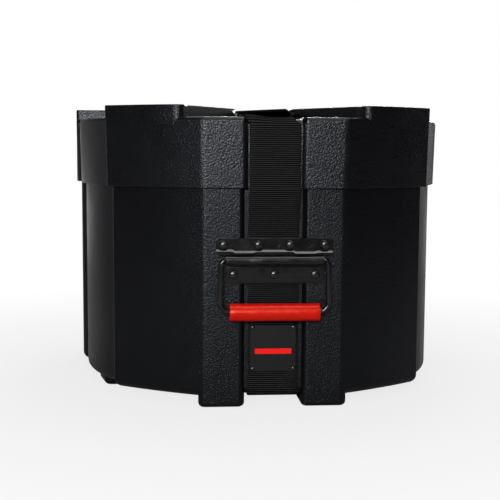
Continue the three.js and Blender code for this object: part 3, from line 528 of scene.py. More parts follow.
class Wiring:
    """The nodes of a material or a world while they are wired up."""

    def __init__(self, owner: bpy.types.Material | bpy.types.World) -> None:
        """Starts with the plain nodes that the owner comes with.

        Args:
            owner: material or world whose nodes are wired.
        """
        owner.use_nodes = True
        self.owner = owner
        self.tree = owner.node_tree

    @classmethod
    def material(cls, name: str) -> "Wiring":
        """Starts a new material."""
        return cls(bpy.data.materials.new(name))

    def feed(self, node: bpy.types.Node, socket: str | int, value: object) -> None:
        """Links an output to a socket, or sets the socket's value.

        Args:
            node: node to feed.
            socket: name or number of its input.
            value: an output, or a plain value.
        """
        if isinstance(value, Socket):
            self.tree.links.new(value, node.inputs[socket])
        else:
            node.inputs[socket].default_value = value

    def fill(self, node: bpy.types.Node, inputs: dict[str, object]) -> bpy.types.Node:
        """Feeds sockets, whose names have underscores for spaces, and returns the node.

        Args:
            node: node to feed.
            inputs: value or output for each socket, underscores standing for spaces.

        Returns:
            The same node.
        """
        for key, value in inputs.items():
            self.feed(node, key.replace("_", " "), value)
        return node

    def add(self, kind: str, settings: dict[str, object] | None = None, **inputs: object) -> bpy.types.Node:
        """Adds a node.

        Args:
            kind: node type without its ShaderNode prefix.
            settings: properties of the node.
            **inputs: socket values or links, with spaces written as underscores.

        Returns:
            The new node.
        """
        node = self.tree.nodes.new("ShaderNode" + kind)
        for key, value in (settings or {}).items():
            setattr(node, key, value)
        return self.fill(node, inputs)

    def row(self, kind: str, values: Sequence[object], **settings: object) -> Socket:
        """Adds a node, feeds its sockets in order and returns its first output.

        Args:
            kind: node type without its ShaderNode prefix.
            values: values or outputs for its first sockets.
            **settings: properties of the node.

        Returns:
            The node's first output.
        """
        node = self.add(kind, settings)
        for socket, value in enumerate(values):
            self.feed(node, socket, value)
        return node.outputs[0]

    def places(self) -> Socket:
        """Object coordinates, in metres."""
        return self.add("TexCoord").outputs["Object"]

    def noise(self, place: Socket, scale: float, detail: float = 2.0, rough: float = 0.5) -> Socket:
        """A noise value between 0 and 1."""
        return self.add("TexNoise", Vector=place, Scale=scale, Detail=detail, Roughness=rough).outputs["Fac"]

    def cells(self, output: str, place: Socket, scale: float, feature: str = "F1", **inputs: object) -> Socket:
        """Voronoi cells, as the distance from their middles or as a colour each."""
        return self.add("TexVoronoi", {"feature": feature}, Vector=place, Scale=scale, **inputs).outputs[output]

    def math(self, operation: str, first: object, second: object = 0.0) -> Socket:
        """One sum on two values."""
        return self.row("Math", [first, second], operation=operation)

    def shares(self, first: Socket, share: float, second: Socket, other: float) -> Socket:
        """Two values added, each times its share."""
        return self.math("ADD", self.math("MULTIPLY", first, share), self.math("MULTIPLY", second, other))

    def spread(
        self, value: object, low: float, high: float, start: float = 0.0, end: float = 1.0, how: str = "LINEAR"
    ) -> Socket:
        """Maps a value from start..end to low..high."""
        limits = {"From_Min": start, "From_Max": end, "To_Min": low, "To_Max": high}
        return self.add("MapRange", {"interpolation_type": how}, Value=value, **limits).outputs["Result"]

    def blend(self, share: object, first: object, second: object) -> Socket:
        """A mix of two colours.

        Args:
            share: share of the second colour.
            first: colour at 0.
            second: colour at 1.

        Returns:
            The mixed colour.
        """
        node = self.add("Mix", {"data_type": "RGBA"})
        for socket, value in ((0, share), (6, first), (7, second)):
            self.feed(node, socket, value)
        return node.outputs[2]

    def clouded(self, cloud: Socket, dark: Colour, light: Colour, start: float = 0.3, end: float = 0.7) -> Socket:
        """Two colours mixed by the middle part of a noise."""
        return self.blend(self.spread(cloud, 0.0, 1.0, start, end), dark, light)

    def bumps(self, height: Socket, depth: float, strength: float = 1.0) -> Socket:
        """A normal that follows a height."""
        return self.add("Bump", Strength=strength, Distance=depth, Height=height).outputs["Normal"]

    def dress(self, **inputs: object) -> bpy.types.Material:
        """Feeds the shader's sockets and returns the material."""
        self.fill(self.tree.nodes["Principled BSDF"], inputs)
        return self.owner


@dataclass(frozen=True)
class MouldedShell:
    """Black polyethylene with a pebbled skin."""

    name: str = "moulded_polyethylene"
    pebble_per_metre: float = 700.0
    pebble_depth: float = 0.00027
    specular: float = 0.24
    low: float = 0.28
    grain_per_metre: float = 1600.0
    pebble_stray: float = 0.0022
    dark: Colour = (0.0022, 0.0022, 0.0030, 1.0)
    light: Colour = (0.0034, 0.0035, 0.0047, 1.0)

    def material(self) -> bpy.types.Material:
        """Wires the material.

        Returns:
            The material.
        """
        wire = Wiring.material(self.name)
        place = wire.places()
        stray = wire.add("TexNoise", Vector=place, Scale=self.pebble_per_metre * 0.55, Detail=2.0)
        shifted = wire.row(
            "VectorMath", [stray.outputs["Color"], (self.pebble_stray,) * 3, place], operation="MULTIPLY_ADD"
        )
        pebbles = wire.cells("Distance", shifted, self.pebble_per_metre, "SMOOTH_F1", Smoothness=0.6)
        height = wire.shares(pebbles, -1.0, wire.noise(place, self.grain_per_metre, 2.0, 0.6), 0.35)
        return wire.dress(
            Base_Color=wire.clouded(wire.noise(place, 9.0, 4.0), self.dark, self.light),
            Roughness=wire.spread(wire.noise(place, 40.0, 3.0), self.low, self.low + 0.06, 0.3, 0.7),
            Normal=wire.bumps(height, self.pebble_depth),
            Specular_IOR_Level=self.specular,
            Specular_Tint=(0.88, 0.93, 1.0, 1.0),
        )


@dataclass(frozen=True)
class Webbing:
    """Black nylon webbing, whose ribs are in the mesh and whose threads are in the bump, with a painted highlight
    on each rib's crest and painted shade in each valley.
    """

    rib_valley_shade: Colour = (0.0004, 0.0004, 0.0004, 1.0)
    rib_crest_highlight: Colour = (0.0300, 0.0300, 0.0296, 1.0)
    rib_crest_highlight_strong: Colour = (0.0360, 0.0360, 0.0355, 1.0)
    rib_pitch: float = 0.00207
    threads_per_metre: float = 900.0

    def material(self) -> bpy.types.Material:
        """Wires the material.

        Returns:
            The material.
        """
        wire = Wiring.material("nylon_webbing")
        lay = wire.add("UVMap", {"uv_map": "weave"}).outputs["UV"]
        bands = self.threads_per_metre / 6.3
        warp = wire.add("TexWave", {"bands_direction": "X"}, Vector=lay, Scale=bands, Distortion=1.2, Detail=1.0)
        height = wire.shares(warp.outputs["Fac"], 0.5, wire.noise(lay, 2600.0, 3.0, 0.7), 0.6)
        along = wire.add("SeparateXYZ", Vector=lay).outputs["Y"]
        wave = wire.math("SINE", wire.math("MULTIPLY", along, 2 * math.pi / self.rib_pitch))
        # Painted light on the ribs: a highlight on each crest, patchy by noise, and painted shade in each valley
        # between them.
        painted_crest = wire.clouded(wire.noise(lay, 60.0, 3.0), self.rib_crest_highlight, self.rib_crest_highlight_strong)
        return wire.dress(
            Base_Color=wire.blend(wire.spread(wave, 0.0, 1.0, 0.30, 1.0), self.rib_valley_shade, painted_crest),
            Roughness=0.55,
            Normal=wire.bumps(height, 0.00006, 0.8),
            Specular_IOR_Level=0.03,
        )


@dataclass(frozen=True)
class PowderCoat:
    """Black powder coat on steel."""

    name: str = "powder_coat"
    colour: Colour = (0.0030, 0.0030, 0.0033, 1.0)
    gloss_low: float = 0.16
    gloss_high: float = 0.22
    skin_depth: float = 0.00001

    def material(self) -> bpy.types.Material:
        """Wires the material, which is lighter where the wear noise is high.

        Returns:
            The material.
        """
        wire = Wiring.material(self.name)
        place = wire.places()
        wear = wire.noise(place, 90.0, 4.0, 0.6)
        lighter = (*[min(1.0, part * 1.5) for part in self.colour[:3]], 1.0)
        return wire.dress(
            Base_Color=wire.clouded(wear, self.colour, lighter, 0.4),
            Roughness=wire.spread(wear, self.gloss_low, self.gloss_high, 0.35, 0.65),
            Normal=wire.bumps(wire.noise(place, 1300.0, 3.0, 0.6), self.skin_depth),
            Specular_IOR_Level=0.5,
        )


@dataclass(frozen=True)
class RedVinyl:
    """Dipped red tube, slightly mottled."""

    deep: Colour = (0.48, 0.0025, 0.0003, 1.0)
    bright: Colour = (0.58, 0.0060, 0.0006, 1.0)

    def material(self) -> bpy.types.Material:
        """Wires the material.

        Returns:
            The material.
        """
        wire = Wiring.material("red_vinyl")
        place = wire.places()
        mottle = wire.noise(place, 130.0, 4.0, 0.6)
        height = wire.shares(mottle, 1.0, wire.noise(place, 900.0), 0.18)
        return wire.dress(
            Base_Color=wire.clouded(mottle, self.deep, self.bright, 0.35, 0.65),
            Roughness=wire.spread(mottle, 0.28, 0.36, 0.35, 0.65),
            Normal=wire.bumps(height, 0.0002, 0.7),
            Specular_IOR_Level=0.9,
            Specular_Tint=(1.0, 0.26, 0.17, 1.0),
        )


@dataclass(frozen=True)
class NamePlateFinish:
    """Satin black plate with one plain red stripe."""

    black: Colour = (0.0050, 0.0050, 0.0054, 1.0)
    red: Colour = (0.80, 0.004, 0.002, 1.0)
    stripe_side: float = 0.0185
    stripe_bottom: float = 0.0545
    stripe_top: float = 0.0600

    def material(self) -> bpy.types.Material:
        """Wires the material.

        Returns:
            The material.
        """
        wire = Wiring.material("name_plate_satin")
        place = wire.places()
        split = wire.add("SeparateXYZ", Vector=place).outputs
        inside = wire.math("LESS_THAN", wire.math("ABSOLUTE", split["X"]), self.stripe_side)
        above = wire.math("GREATER_THAN", split["Z"], self.stripe_bottom)
        below = wire.math("LESS_THAN", split["Z"], self.stripe_top)
        stripe = wire.math("MULTIPLY", inside, wire.math("MULTIPLY", above, below))
        return wire.dress(
            Base_Color=wire.blend(stripe, self.black, self.red),
            Roughness=wire.spread(wire.noise(place, 70.0, 3.0), 0.40, 0.50, 0.3, 0.7),
            Normal=wire.bumps(wire.noise(place, 1800.0), 0.00003, 0.8),
            Specular_IOR_Level=0.2,
        )


@dataclass(frozen=True)
class CellFoam:
    """Charcoal closed-cell foam."""

    dark: Colour = (0.016, 0.0165, 0.018, 1.0)
    light: Colour = (0.030, 0.031, 0.034, 1.0)

    def material(self) -> bpy.types.Material:
        """Wires the material.

        Returns:
            The material.
        """
        wire = Wiring.material("cell_foam")
        place = wire.places()
        return wire.dress(
            Base_Color=wire.clouded(wire.noise(place, 30.0, 4.0), self.dark, self.light),
            Roughness=0.95,
            Normal=wire.bumps(wire.cells("Distance", place, 900.0), 0.00035, 0.8),
            Specular_IOR_Level=0.25,
            Sheen_Weight=0.1,
        )


@dataclass(frozen=True)
class ZincPlate:
    """Dull zinc on the fasteners inside."""

    dark: Colour = (0.36, 0.37, 0.38, 1.0)
    light: Colour = (0.52, 0.53, 0.54, 1.0)

    def material(self) -> bpy.types.Material:
        """Wires the material, with its spangle.

        Returns:
            The material.
        """
        wire = Wiring.material("zinc_plate")
        place = wire.places()
        grey = wire.add("RGBToBW", Color=wire.cells("Color", place, 420.0)).outputs[0]
        return wire.dress(
            Base_Color=wire.blend(grey, self.dark, self.light),
            Metallic=1.0,
            Roughness=wire.spread(grey, 0.32, 0.48),
            Normal=wire.bumps(wire.noise(place, 1500.0), 0.00003, 0.6),
        )


class Finishes:
    """Every material of the case, made once."""

    def __init__(self) -> None:
        """Wires them all."""
        self.shell = MouldedShell().material()
        self.lid = MouldedShell("moulded_polyethylene_lid", 620.0, 0.00032, specular=0.36, low=0.27).material()
        self.webbing = Webbing().material()
        self.steel = PowderCoat().material()
        self.rivet = PowderCoat("rivet_gloss", (0.0060, 0.0061, 0.0064, 1.0), 0.20, 0.28, 0.00003).material()
        self.grip = RedVinyl().material()
        self.plate = NamePlateFinish().material()
        self.foam = CellFoam().material()
        self.zinc = ZincPlate().material()
        self.plastic = PowderCoat("buckle_plastic", (0.0060, 0.0062, 0.0068, 1.0), 0.42, 0.52, 0.00008).material()



def finished(
    bm: Solid,
    name: str,
    part: Part,
    material: bpy.types.Material,
    node: str,
    smooth_to: float = 35.0,
    weigh: bool = True,
) -> Piece:
    """Turns a mesh under work into a piece of the case.

    Args:
        bm: closed mesh in millimetres.
        name: name of the piece.
        part: body that it rides on.
        material: its finish.
        node: CAD node that it stands for.
        smooth_to: edges sharper than this stay crisp, in degrees.
        weigh: whether large faces keep their own normals.

    Returns:
        The finished object, in the row frame.
    """
    bmesh.ops.transform(bm, matrix=INTO_ROW, verts=bm.verts)
    for face in bm.faces:
        face.smooth = True
    for edge in sharp_edges(bm, smooth_to):
        edge.smooth = False
    made = as_object(bm, name)
    made.data.materials.append(material)
    if weigh:
        weight = made.modifiers.new("normals", "WEIGHTED_NORMAL")
        weight.keep_sharp = True
        weight.weight = 80
    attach(made, part.value)
    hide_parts(node)
    log.info("%s: %d faces on %s", name, len(made.data.polygons), part.value)
    return made


# The case's plan


@dataclass(frozen=True)
class CasePlan:
    """Plan of the case: flat face, angled wings, round body and square back corners."""

    face: float = 190.0
    crease: float = 70.0
    crease_round: float = 9.4
    wing: Corner = Corner(162.0, -132.5, 2.6, True)
    wing_bulge: float = 4.6
    wing_round: float = 440.0
    body_radius: float = 195.0
    body_round: float = 150.0
    body_from: float = -35.0
    body_to: float = 5.0
    step_round: float = 10.0
    block: Corner = Corner(204.0, 27.0, 9.0)
    back: float = 197.0
    back_round: float = 46.0

    def on_body(self, degrees: float, radius: float) -> Pair:
        """A point at an angle on a circle round the drum's axis."""
        angle = math.radians(degrees)
        return radius * math.cos(angle), radius * math.sin(angle)

    def wing_middle(self) -> Corner:
        """The blunt corner that gives a wing its slight swell.

        Returns:
            A corner with a wide rounding.
        """
        along = Vector((self.wing.x - self.crease, self.wing.y + self.face))
        out = Vector((along.y, -along.x)).normalized() * self.wing_bulge
        at = Vector((self.crease, -self.face)) + along / 2 + out
        return Corner(at.x, at.y, self.wing_round)

    def outline(self) -> Outline:
        """The whole outline at the base's rim.

        Returns:
            An outline that is the same left and right.
        """
        half = math.radians((self.body_to - self.body_from) / 2)
        middle = self.on_body((self.body_from + self.body_to) / 2, self.body_radius / math.cos(half))
        return Outline.symmetric(
            [
                Corner(self.crease, -self.face, self.crease_round),
                self.wing_middle(),
                self.wing,
                Corner(*self.on_body(self.body_from, self.body_radius), self.step_round),
                Corner(*middle, self.body_round),
                Corner(*self.on_body(self.body_to, self.body_radius), self.step_round),
                self.block,
                Corner(self.block.x, self.back, self.back_round),
            ]
        )

    def hollow(
        self, wall: float, bump_half: float, bump_foot: float, bump_front: float, bump_back: float
    ) -> Outline:
        """Plan of a hollow whose wall steps in behind the strap's channel.

        Args:
            wall: how far the hollow stays inside the outline.
            bump_half: half width of the step at its top.
            bump_foot: half width of the step where it leaves the wall.
            bump_front: reach of the step at the front.
            bump_back: reach of the step at the back.

        Returns:
            The hollow's outline.
        """
        inner = self.outline().grown(-wall).corners
        front, back = self.face - wall, self.back - wall
        half = len(inner) // 2
        back_step = path((bump_foot, back), (bump_half, bump_back), (-bump_half, bump_back), (-bump_foot, back))
        front_step = path((-bump_foot, -front), (-bump_half, -bump_front))
        front_step += path((bump_half, -bump_front), (bump_foot, -front))
        return Outline((*inner[:half], *back_step, *inner[half:], *front_step))


def edge_easing(mouth: float, slope: float, radius: float) -> list[Pair]:
    """Section of the cutter that rounds one edge of a channel's mouth, on the right.

    Args:
        mouth: half width of the channel where its wall meets the face.
        slope: angle of the channel's wall from straight in, in degrees.
        radius: radius of the rounding.

    Returns:
        Points across and out from the face.
    """
    turn = math.radians(90 - slope)
    start = mouth + radius * math.tan(turn / 2)
    lift, outside, steps = 0.06, 4.0, 6
    points = [(mouth - 2.4, outside), (start + 2.0, outside), (start + 0.9, lift + 0.03)]
    for index in range(steps + 1):
        angle = math.pi / 2 + turn * index / steps
        points.append((start + radius * math.cos(angle), lift - radius + radius * math.sin(angle)))
    last = points[-1]
    return [*points, (last[0] - 1.0, last[1] - 0.4)]


def channel_cutter(half: float, seat: float, slope: float, depth: float, line: Sequence[Corner]) -> Solid:
    """Cutter for the strap's channel, which widens outwards.

    Args:
        half: half width of the channel's floor.
        seat: how far the floor lies under the strap's middle.
        slope: angle of the walls from straight in, in degrees.
        depth: how far the cutter reaches out from the strap's middle.
        line: the strap's middle in the side view.

    Returns:
        A closed mesh.
    """
    wide = half + (depth + seat) * math.tan(math.radians(slope))
    return Sweep([(-half, -seat), (half, -seat), (wide, depth), (-wide, depth)], line).bm


@dataclass(frozen=True)
class MouldedBase:
    """Lower shell with its strap channel and stacking feet."""

    plan: CasePlan = CasePlan()
    bottom: float = 10.9
    top: float = 250.0
    draft: float = -0.8
    edge: float = 8.6
    wall: float = 5.0
    floor: float = 17.0
    floor_edge: float = 3.0
    strap_front: float = 185.4
    strap_back: float = 192.4
    strap_under: float = 11.2
    strap_bend: float = 9.0
    seat: float = 1.4
    channel_half: float = 29.2
    channel_slope: float = 33.3
    mouth_half: float = 32.8
    foot_edge: float = 4.8

    def channel(self) -> Solid:
        """Cutter for the channel round the base.

        Returns:
            A closed mesh in millimetres.
        """
        over = self.top + 6.0
        front, back, under, bend = -self.strap_front, self.strap_back, self.strap_under, self.strap_bend
        line = path((front, over), (front, under, bend), (back, under, bend), (back, over))
        return channel_cutter(self.channel_half, self.seat, self.channel_slope, 12.0, line)

    def eased_edges(self) -> list[Solid]:
        """Cutters that round the channel's mouth at the front and at the back.

        Returns:
            One cutter for the front and one for the back.
        """
        section = edge_easing(self.mouth_half, self.channel_slope, 5.0)
        over, under, run_in = self.top + 6, -6, 60
        face, back = self.plan.face, self.plan.back
        low, back_low = face + self.draft, back + self.draft
        lines = [
            path((-face, over), (-low, self.bottom, self.edge), (run_in - low, under)),
            path((back_low - run_in, under), (back_low, self.bottom, self.edge), (back, over)),
        ]
        return [both_sides(Sweep(section, line).bm) for line in lines]

    def foot(self, plan: tuple[Corner, ...]) -> Solid:
        """One foot with rounded lower edges, and its twin on the other side.

        Args:
            plan: corners of the right foot.

        Returns:
            Both feet, in one mesh.
        """
        solid = prism(Outline(plan), 0.0, self.bottom + self.edge)
        rounded(solid, edges_at(solid, 0.0), self.foot_edge)
        return both_sides(solid)

    def feet(self) -> list[Solid]:
        """Front, back and side feet.

        Returns:
            Three pairs of feet.
        """
        front = path((28.8, -184.0), (32.2, -189.1, 5.2), (70.0, -189.1, 7.5), (76.8, -184.6, 6.0))
        front += path((46.0, -110.0, 6.0), (28.8, -110.0, 6.0))
        back = path((28.8, 110.0, 6.0), (46.0, 110.0, 6.0), (76.8, 190.0, 6.0), (28.8, 190.0, 6.0))
        side = path((140.0, -74.0, 6.0), (173.0, -74.0, 8.0), (180.5, -36.0, 10.0))
        side += path((180.5, 2.0, 6.0), (140.0, 2.0, 6.0))
        return [self.foot(plan) for plan in (front, back, side)]

    def build(self, finishes: Finishes) -> Piece:
        """Builds and dresses the base.

        Args:
            finishes: the case's materials.

        Returns:
            The finished base.
        """
        shell = prism(self.plan.outline(), self.bottom, self.top)
        drafted(shell, self.bottom, DRAFT_REACH, self.draft)
        rounded(shell, edges_at(shell, self.bottom), self.edge, 7)
        round_uprights(shell, self.plan.outline(), crisp=True, near=16.0)
        shell = joined(shell, self.channel(), Join.TAKE)
        for cutter in self.eased_edges():
            shell = joined(shell, cutter, Join.TAKE)
        for foot in self.feet():
            shell = joined(shell, foot, Join.ADD)
        inside = self.plan.hollow(self.wall, bump_half=30.4, bump_foot=35.4, bump_front=178.8, bump_back=185.8)
        hollow = prism(inside, self.floor, self.top + 1)
        rounded(hollow, edges_at(hollow, self.floor), self.floor_edge, 3)
        shell = joined(shell, hollow, Join.TAKE)
        return finished(shell, "base_shell_moulded", Part.BASE, finishes.shell, "base_shell")


@dataclass(frozen=True)
class MouldedLid:
    """Lift-off lid with a raised cross, its stacking insets and the strap's channel."""

    plan: CasePlan = CasePlan()
    rim: float = 221.5
    shelf: float = 250.3
    low_top: float = 292.0
    high_top: float = 304.0
    out_at_rim: float = 5.2
    out_at_top: float = 7.4
    low_edge: float = 6.5
    high_edge: float = 5.4
    rim_edge: float = 0.9
    wall: float = 4.6
    clearance: float = 0.9
    strap_front: float = 194.8
    strap_back: float = 201.8
    strap_over: float = 292.8
    strap_lip: float = 290.9
    strap_bend: float = 9.0
    seat: float = 1.4
    channel_half: float = 27.4
    channel_slope: float = 36.5
    # The raised halves start inside the lid's side, set in by a hair so that no two faces coincide.
    island_from: float = 284.0
    inset: float = 0.08
    gap_half: float = 31.0
    pocket_wall: float = 5.0

    def out_at(self, height: float) -> float:
        """How far the lid's side stands out past the base at a height."""
        share = (height - self.rim) / (self.high_top - self.rim)
        return self.out_at_rim + (self.out_at_top - self.out_at_rim) * share

    def hold_sides(self, solid: Solid, reach: float) -> None:
        """Keeps the square corners' sides upright at a reach from the middle."""
        for vert in solid.verts:
            vert.co.x = max(-reach, min(reach, vert.co.x))

    def low_body(self) -> Solid:
        """The lid up to its low top.

        Returns:
            A closed mesh in millimetres.
        """
        solid = prism(self.plan.outline().grown(self.out_at_rim), self.rim, self.low_top)
        drafted(solid, self.low_top, DRAFT_REACH, self.out_at(self.low_top) - self.out_at_rim)
        self.hold_sides(solid, self.plan.block.x + self.out_at_rim)
        rounded(solid, edges_at(solid, self.low_top), self.low_edge, 6)
        round_uprights(solid, self.plan.outline().grown(self.out_at_rim), crisp=True, near=14.0)
        rounded(solid, edges_at(solid, self.rim), self.rim_edge, 2)
        return solid

    def island_plan(self) -> Outline:
        """Plan of the right raised half at the height where it starts, out to the lid's side.

        Returns:
            The plan of the right half.
        """
        side = self.plan.outline().grown(self.out_at(self.island_from) - self.inset).corners
        crease, swell, wing, body, block, back = side[0], side[1], side[2], side[3], side[6], side[7]
        lobe_from, wing_to = 90.2, -114.0
        along = (lobe_from - crease.x) / (swell.x - crease.x)
        front = Corner(lobe_from, crease.y + (swell.y - crease.y) * along, 9.0)
        down = (wing_to - wing.y) / (body.y - wing.y)
        wing_end = Corner(wing.x + (body.x - wing.x) * down - 0.2, wing_to, 2.0, True)
        return Outline(
            (
                *path((self.gap_half, -72.0, 8.0), (86.0, -164.0, 16.0)),
                front,
                Corner(swell.x, swell.y, 190.0),
                wing,
                wing_end,
                *path((118.0, -62.0, 8.0), (118.0, -8.0, 8.0), (150.0, 24.0, 8.0), (block.x, 24.0, 6.6)),
                *path((block.x, back.y, back.round), (105.7, back.y, 6.6), (self.gap_half, 80.0, 8.0)),
            )
        )

    def island(self) -> Solid:
        """The right raised half, with its rounded top edge.

        Returns:
            A closed mesh in millimetres.
        """
        solid = prism(self.island_plan(), self.island_from, self.high_top)
        growth = self.out_at(self.high_top) - self.out_at(self.island_from)
        for vert in at_height(solid, self.high_top):
            # Only what lies on the lid's outer side leans out, not the sides of the gaps between the lobes.
            outside = Vector((vert.co.x, vert.co.y - PLAN_MIDDLE, 0.0))
            if outside.length > 150 or abs(vert.co.x) > 195 or vert.co.y > 190:
                vert.co += outside.normalized() * growth
        self.hold_sides(solid, self.plan.block.x + self.out_at_rim - self.inset)
        rounded(solid, edges_at(solid, self.high_top), self.high_edge, 5)
        round_uprights(solid, self.island_plan(), crisp=True, near=14.0)
        return solid

    def channel(self) -> Solid:
        """Cutter for the channel over the lid.

        Returns:
            A closed mesh in millimetres.
        """
        under = self.rim - 6.0
        front, back, bend = -self.strap_front, self.strap_back, self.strap_bend
        line = path((back, under), (back, self.strap_over, bend), (-112.0, self.strap_over, 20.0))
        line += path((-150.0, self.strap_lip, 20.0), (front, self.strap_lip, bend), (front, under))
        return channel_cutter(self.channel_half, self.seat, self.channel_slope, 10.0, line)

    def eased_edges(self) -> list[Solid]:
        """Cutters that round the channel's mouth, front and back.

        Returns:
            One cutter for the front and one for the back.
        """
        mouth = self.channel_half + 3.4 * math.tan(math.radians(self.channel_slope))
        section = edge_easing(mouth, self.channel_slope, 8.0)
        over, under, run_in = self.low_top + 18, self.rim - 2, 60
        front_rim, back_rim = -(self.plan.face + self.out_at_rim), self.plan.back + self.out_at_rim
        top_out = self.out_at(self.low_top)
        front_top, back_top = -(self.plan.face + top_out), self.plan.back + top_out
        lines = [
            path((front_top + run_in, over), (front_top, self.low_top, self.low_edge), (front_rim, under)),
            path((back_rim, under), (back_top, self.low_top, self.low_edge), (back_top - run_in, over)),
        ]
        return [both_sides(Sweep(section, line).bm) for line in lines]

    def room(self) -> list[Solid]:
        """Hollows under the lid: the sleeve round the base's neck and the space above the shelf.

        Returns:
            The cutters for the two hollows.
        """
        sleeve = prism(self.plan.outline().grown(self.clearance), self.rim - 1, self.shelf)
        inside = self.plan.hollow(self.wall, bump_half=29.2, bump_foot=32.4, bump_front=184.6, bump_back=191.6)
        above = prism(inside, self.shelf - 1, self.low_top - self.pocket_wall)
        return [sleeve, above]

    def build(self, finishes: Finishes) -> Piece:
        """Builds and dresses the lid.

        Args:
            finishes: the case's materials.

        Returns:
            The finished lid.
        """
        shell = self.low_body()
        right = self.island()
        shell = joined(shell, merged([mirrored_copy(right), right]), Join.ADD)
        shell = joined(shell, self.channel(), Join.TAKE)
        for cutter in self.eased_edges():
            shell = joined(shell, cutter, Join.TAKE)
        for hollow in self.room():
            shell = joined(shell, hollow, Join.TAKE)
        return finished(shell, "lid_shell_moulded", Part.LID, finishes.lid, "lid_shell")


# Webbing


@dataclass(frozen=True)
class StrapSet:
    """The webbing round the case: base loop, both lid straps and the free tail."""

    half_width: float = 25.4
    half_thick: float = 1.02
    rib_pitch: float = 2.07
    rib_height: float = 0.26
    front: float = 185.4
    back: float = 192.4
    under: float = 11.2
    lid_front: float = 194.8
    lid_back: float = 201.8
    over: float = 292.8
    lip: float = 290.9
    second: float = 295.38
    third: float = 298.0
    socket_over: float = 298.8
    plug_over: float = 299.85
    bend: float = 9.0
    tuck: float = 176.0
    rim: float = 221.5
    gap: float = 0.3
    stray: float = 5.5
    proud: float = 2.7
    tail_from: float = -99.0
    tail_end: float = -186.0
    tail_stray: float = 14.0
    tail_lift: float = 0.052

    def section(self) -> list[Pair]:
        """Cross-section of the webbing, with thin woven edges.

        Returns:
            Points across and out from the webbing's middle.
        """
        wide, thick = self.half_width, self.half_thick
        outer = [(-wide, 0.5), (-wide + 0.9, thick)]
        outer += [(side * 5.0, thick) for side in range(-4, 5)]
        outer += [(wide - 0.9, thick), (wide, 0.5)]
        return [*outer, *[(u, -n) for u, n in reversed(outer)]]

    def front_slack(self, at: Vector) -> Vector:
        """Where the front strap strays over the lid's edge: to the left, standing proud on that side.

        Args:
            at: a point of the webbing.

        Returns:
            How far the point strays.
        """
        share = smooth((at.z - 283.5) / 8.0) * smooth((-128.0 - at.y) / 40.0)
        return Vector((-self.stray * share, 0.0, self.proud * share * smooth((2.0 - at.x) / 22.0)))

    def tail_slack(self, at: Vector) -> Vector:
        """How the free tail wanders to the left and lifts its right edge.

        Args:
            at: a point of the webbing.

        Returns:
            How far the point strays.
        """
        lies_on_top = at.z > self.second + 1.29 or at.y < -119.0
        share = max(0.0, (self.tail_from - at.y) / (self.tail_from - self.tail_end)) if lies_on_top else 0.0
        lift = self.tail_lift * (at.x + self.half_width) * smooth(share)
        return Vector((-self.tail_stray * share**1.4, 0.0, lift))

    def ribbon(
        self,
        line: Sequence[Corner],
        name: str,
        part: Part,
        finishes: Finishes,
        node: str,
        slack: Callable[[Vector], Vector] | None = None,
    ) -> Piece:
        """One length of webbing with its crosswise ribs.

        Args:
            line: depth and height of the webbing's middle.
            name: name of the piece.
            part: body that it rides on.
            finishes: the case's materials.
            node: CAD node that it stands for.
            slack: how a point of the webbing strays from its line.

        Returns:
            The finished piece.
        """
        sweep = Sweep(self.section(), line, self.rib_pitch / 4)
        bm, along = sweep.bm, sweep.length
        bm.normal_update()
        shifts = []
        for vert in bm.verts:
            wave = math.sin(2 * math.pi * vert[along] / self.rib_pitch)
            shifts.append(vert.normal * self.rib_height * wave)
        for vert, shift in zip(bm.verts, shifts):
            vert.co += shift
            if slack is not None:
                vert.co += slack(vert.co)
        weave = bm.loops.layers.uv.new("weave")
        for face in bm.faces:
            for loop in face.loops:
                loop[weave].uv = (loop.vert.co.x * 0.001 + 0.1, loop.vert[along] * 0.001)
        return finished(bm, name, part, finishes.webbing, node, smooth_to=60.0, weigh=False)

    def build(self, finishes: Finishes) -> list[Piece]:
        """Builds all four lengths.

        Args:
            finishes: the case's materials.

        Returns:
            The finished lengths.
        """
        rim_low, rim_high = self.rim - self.gap, self.rim + self.gap
        front_side, front_rim, back_side, back_rim = -self.front, -self.lid_front, self.back, self.lid_back
        bend, over, second, third = self.bend, self.over, self.second, self.third
        base = path((front_rim, rim_low), (front_side, self.tuck, bend), (front_side, self.under, bend))
        base += path((back_side, self.under, bend), (back_side, self.tuck, bend), (back_rim, rim_low))
        front = path((-58.3, over), (-112.0, over, 20.0), (-150.0, self.lip, 20.0))
        front += path((front_rim, self.lip, bend), (front_rim, rim_high))
        loop, fold = self.socket_over, self.plug_over
        back = path((back_rim, rim_high), (back_rim, over, bend), (-13.8, over, 2.6), (-13.8, loop, 2.6))
        back += path((4.0, loop, 2.6), (17.0, second, 2.6), (44.0, second))
        tail = path((-118.0, second), (-84.2, second, 2.2), (-84.2, fold, 2.2), (-95.1, fold, 2.8))
        tail += path((-110.3, third, 6.0), (-134.0, third, 20.0))
        tail += path((-152.0, second + 0.9, 20.0), (self.tail_end, second + 1.1))
        return [
            self.ribbon(base, "base_strap_webbing", Part.BASE, finishes, "base_strap"),
            self.ribbon(front, "lid_front_webbing", Part.LID, finishes, "lid_front_strap", self.front_slack),
            self.ribbon(back, "lid_back_webbing", Part.LID, finishes, "lid_back_strap"),
            self.ribbon(tail, "strap_tail_webbing", Part.PLUG, finishes, "strap_tail", self.tail_slack),
        ]


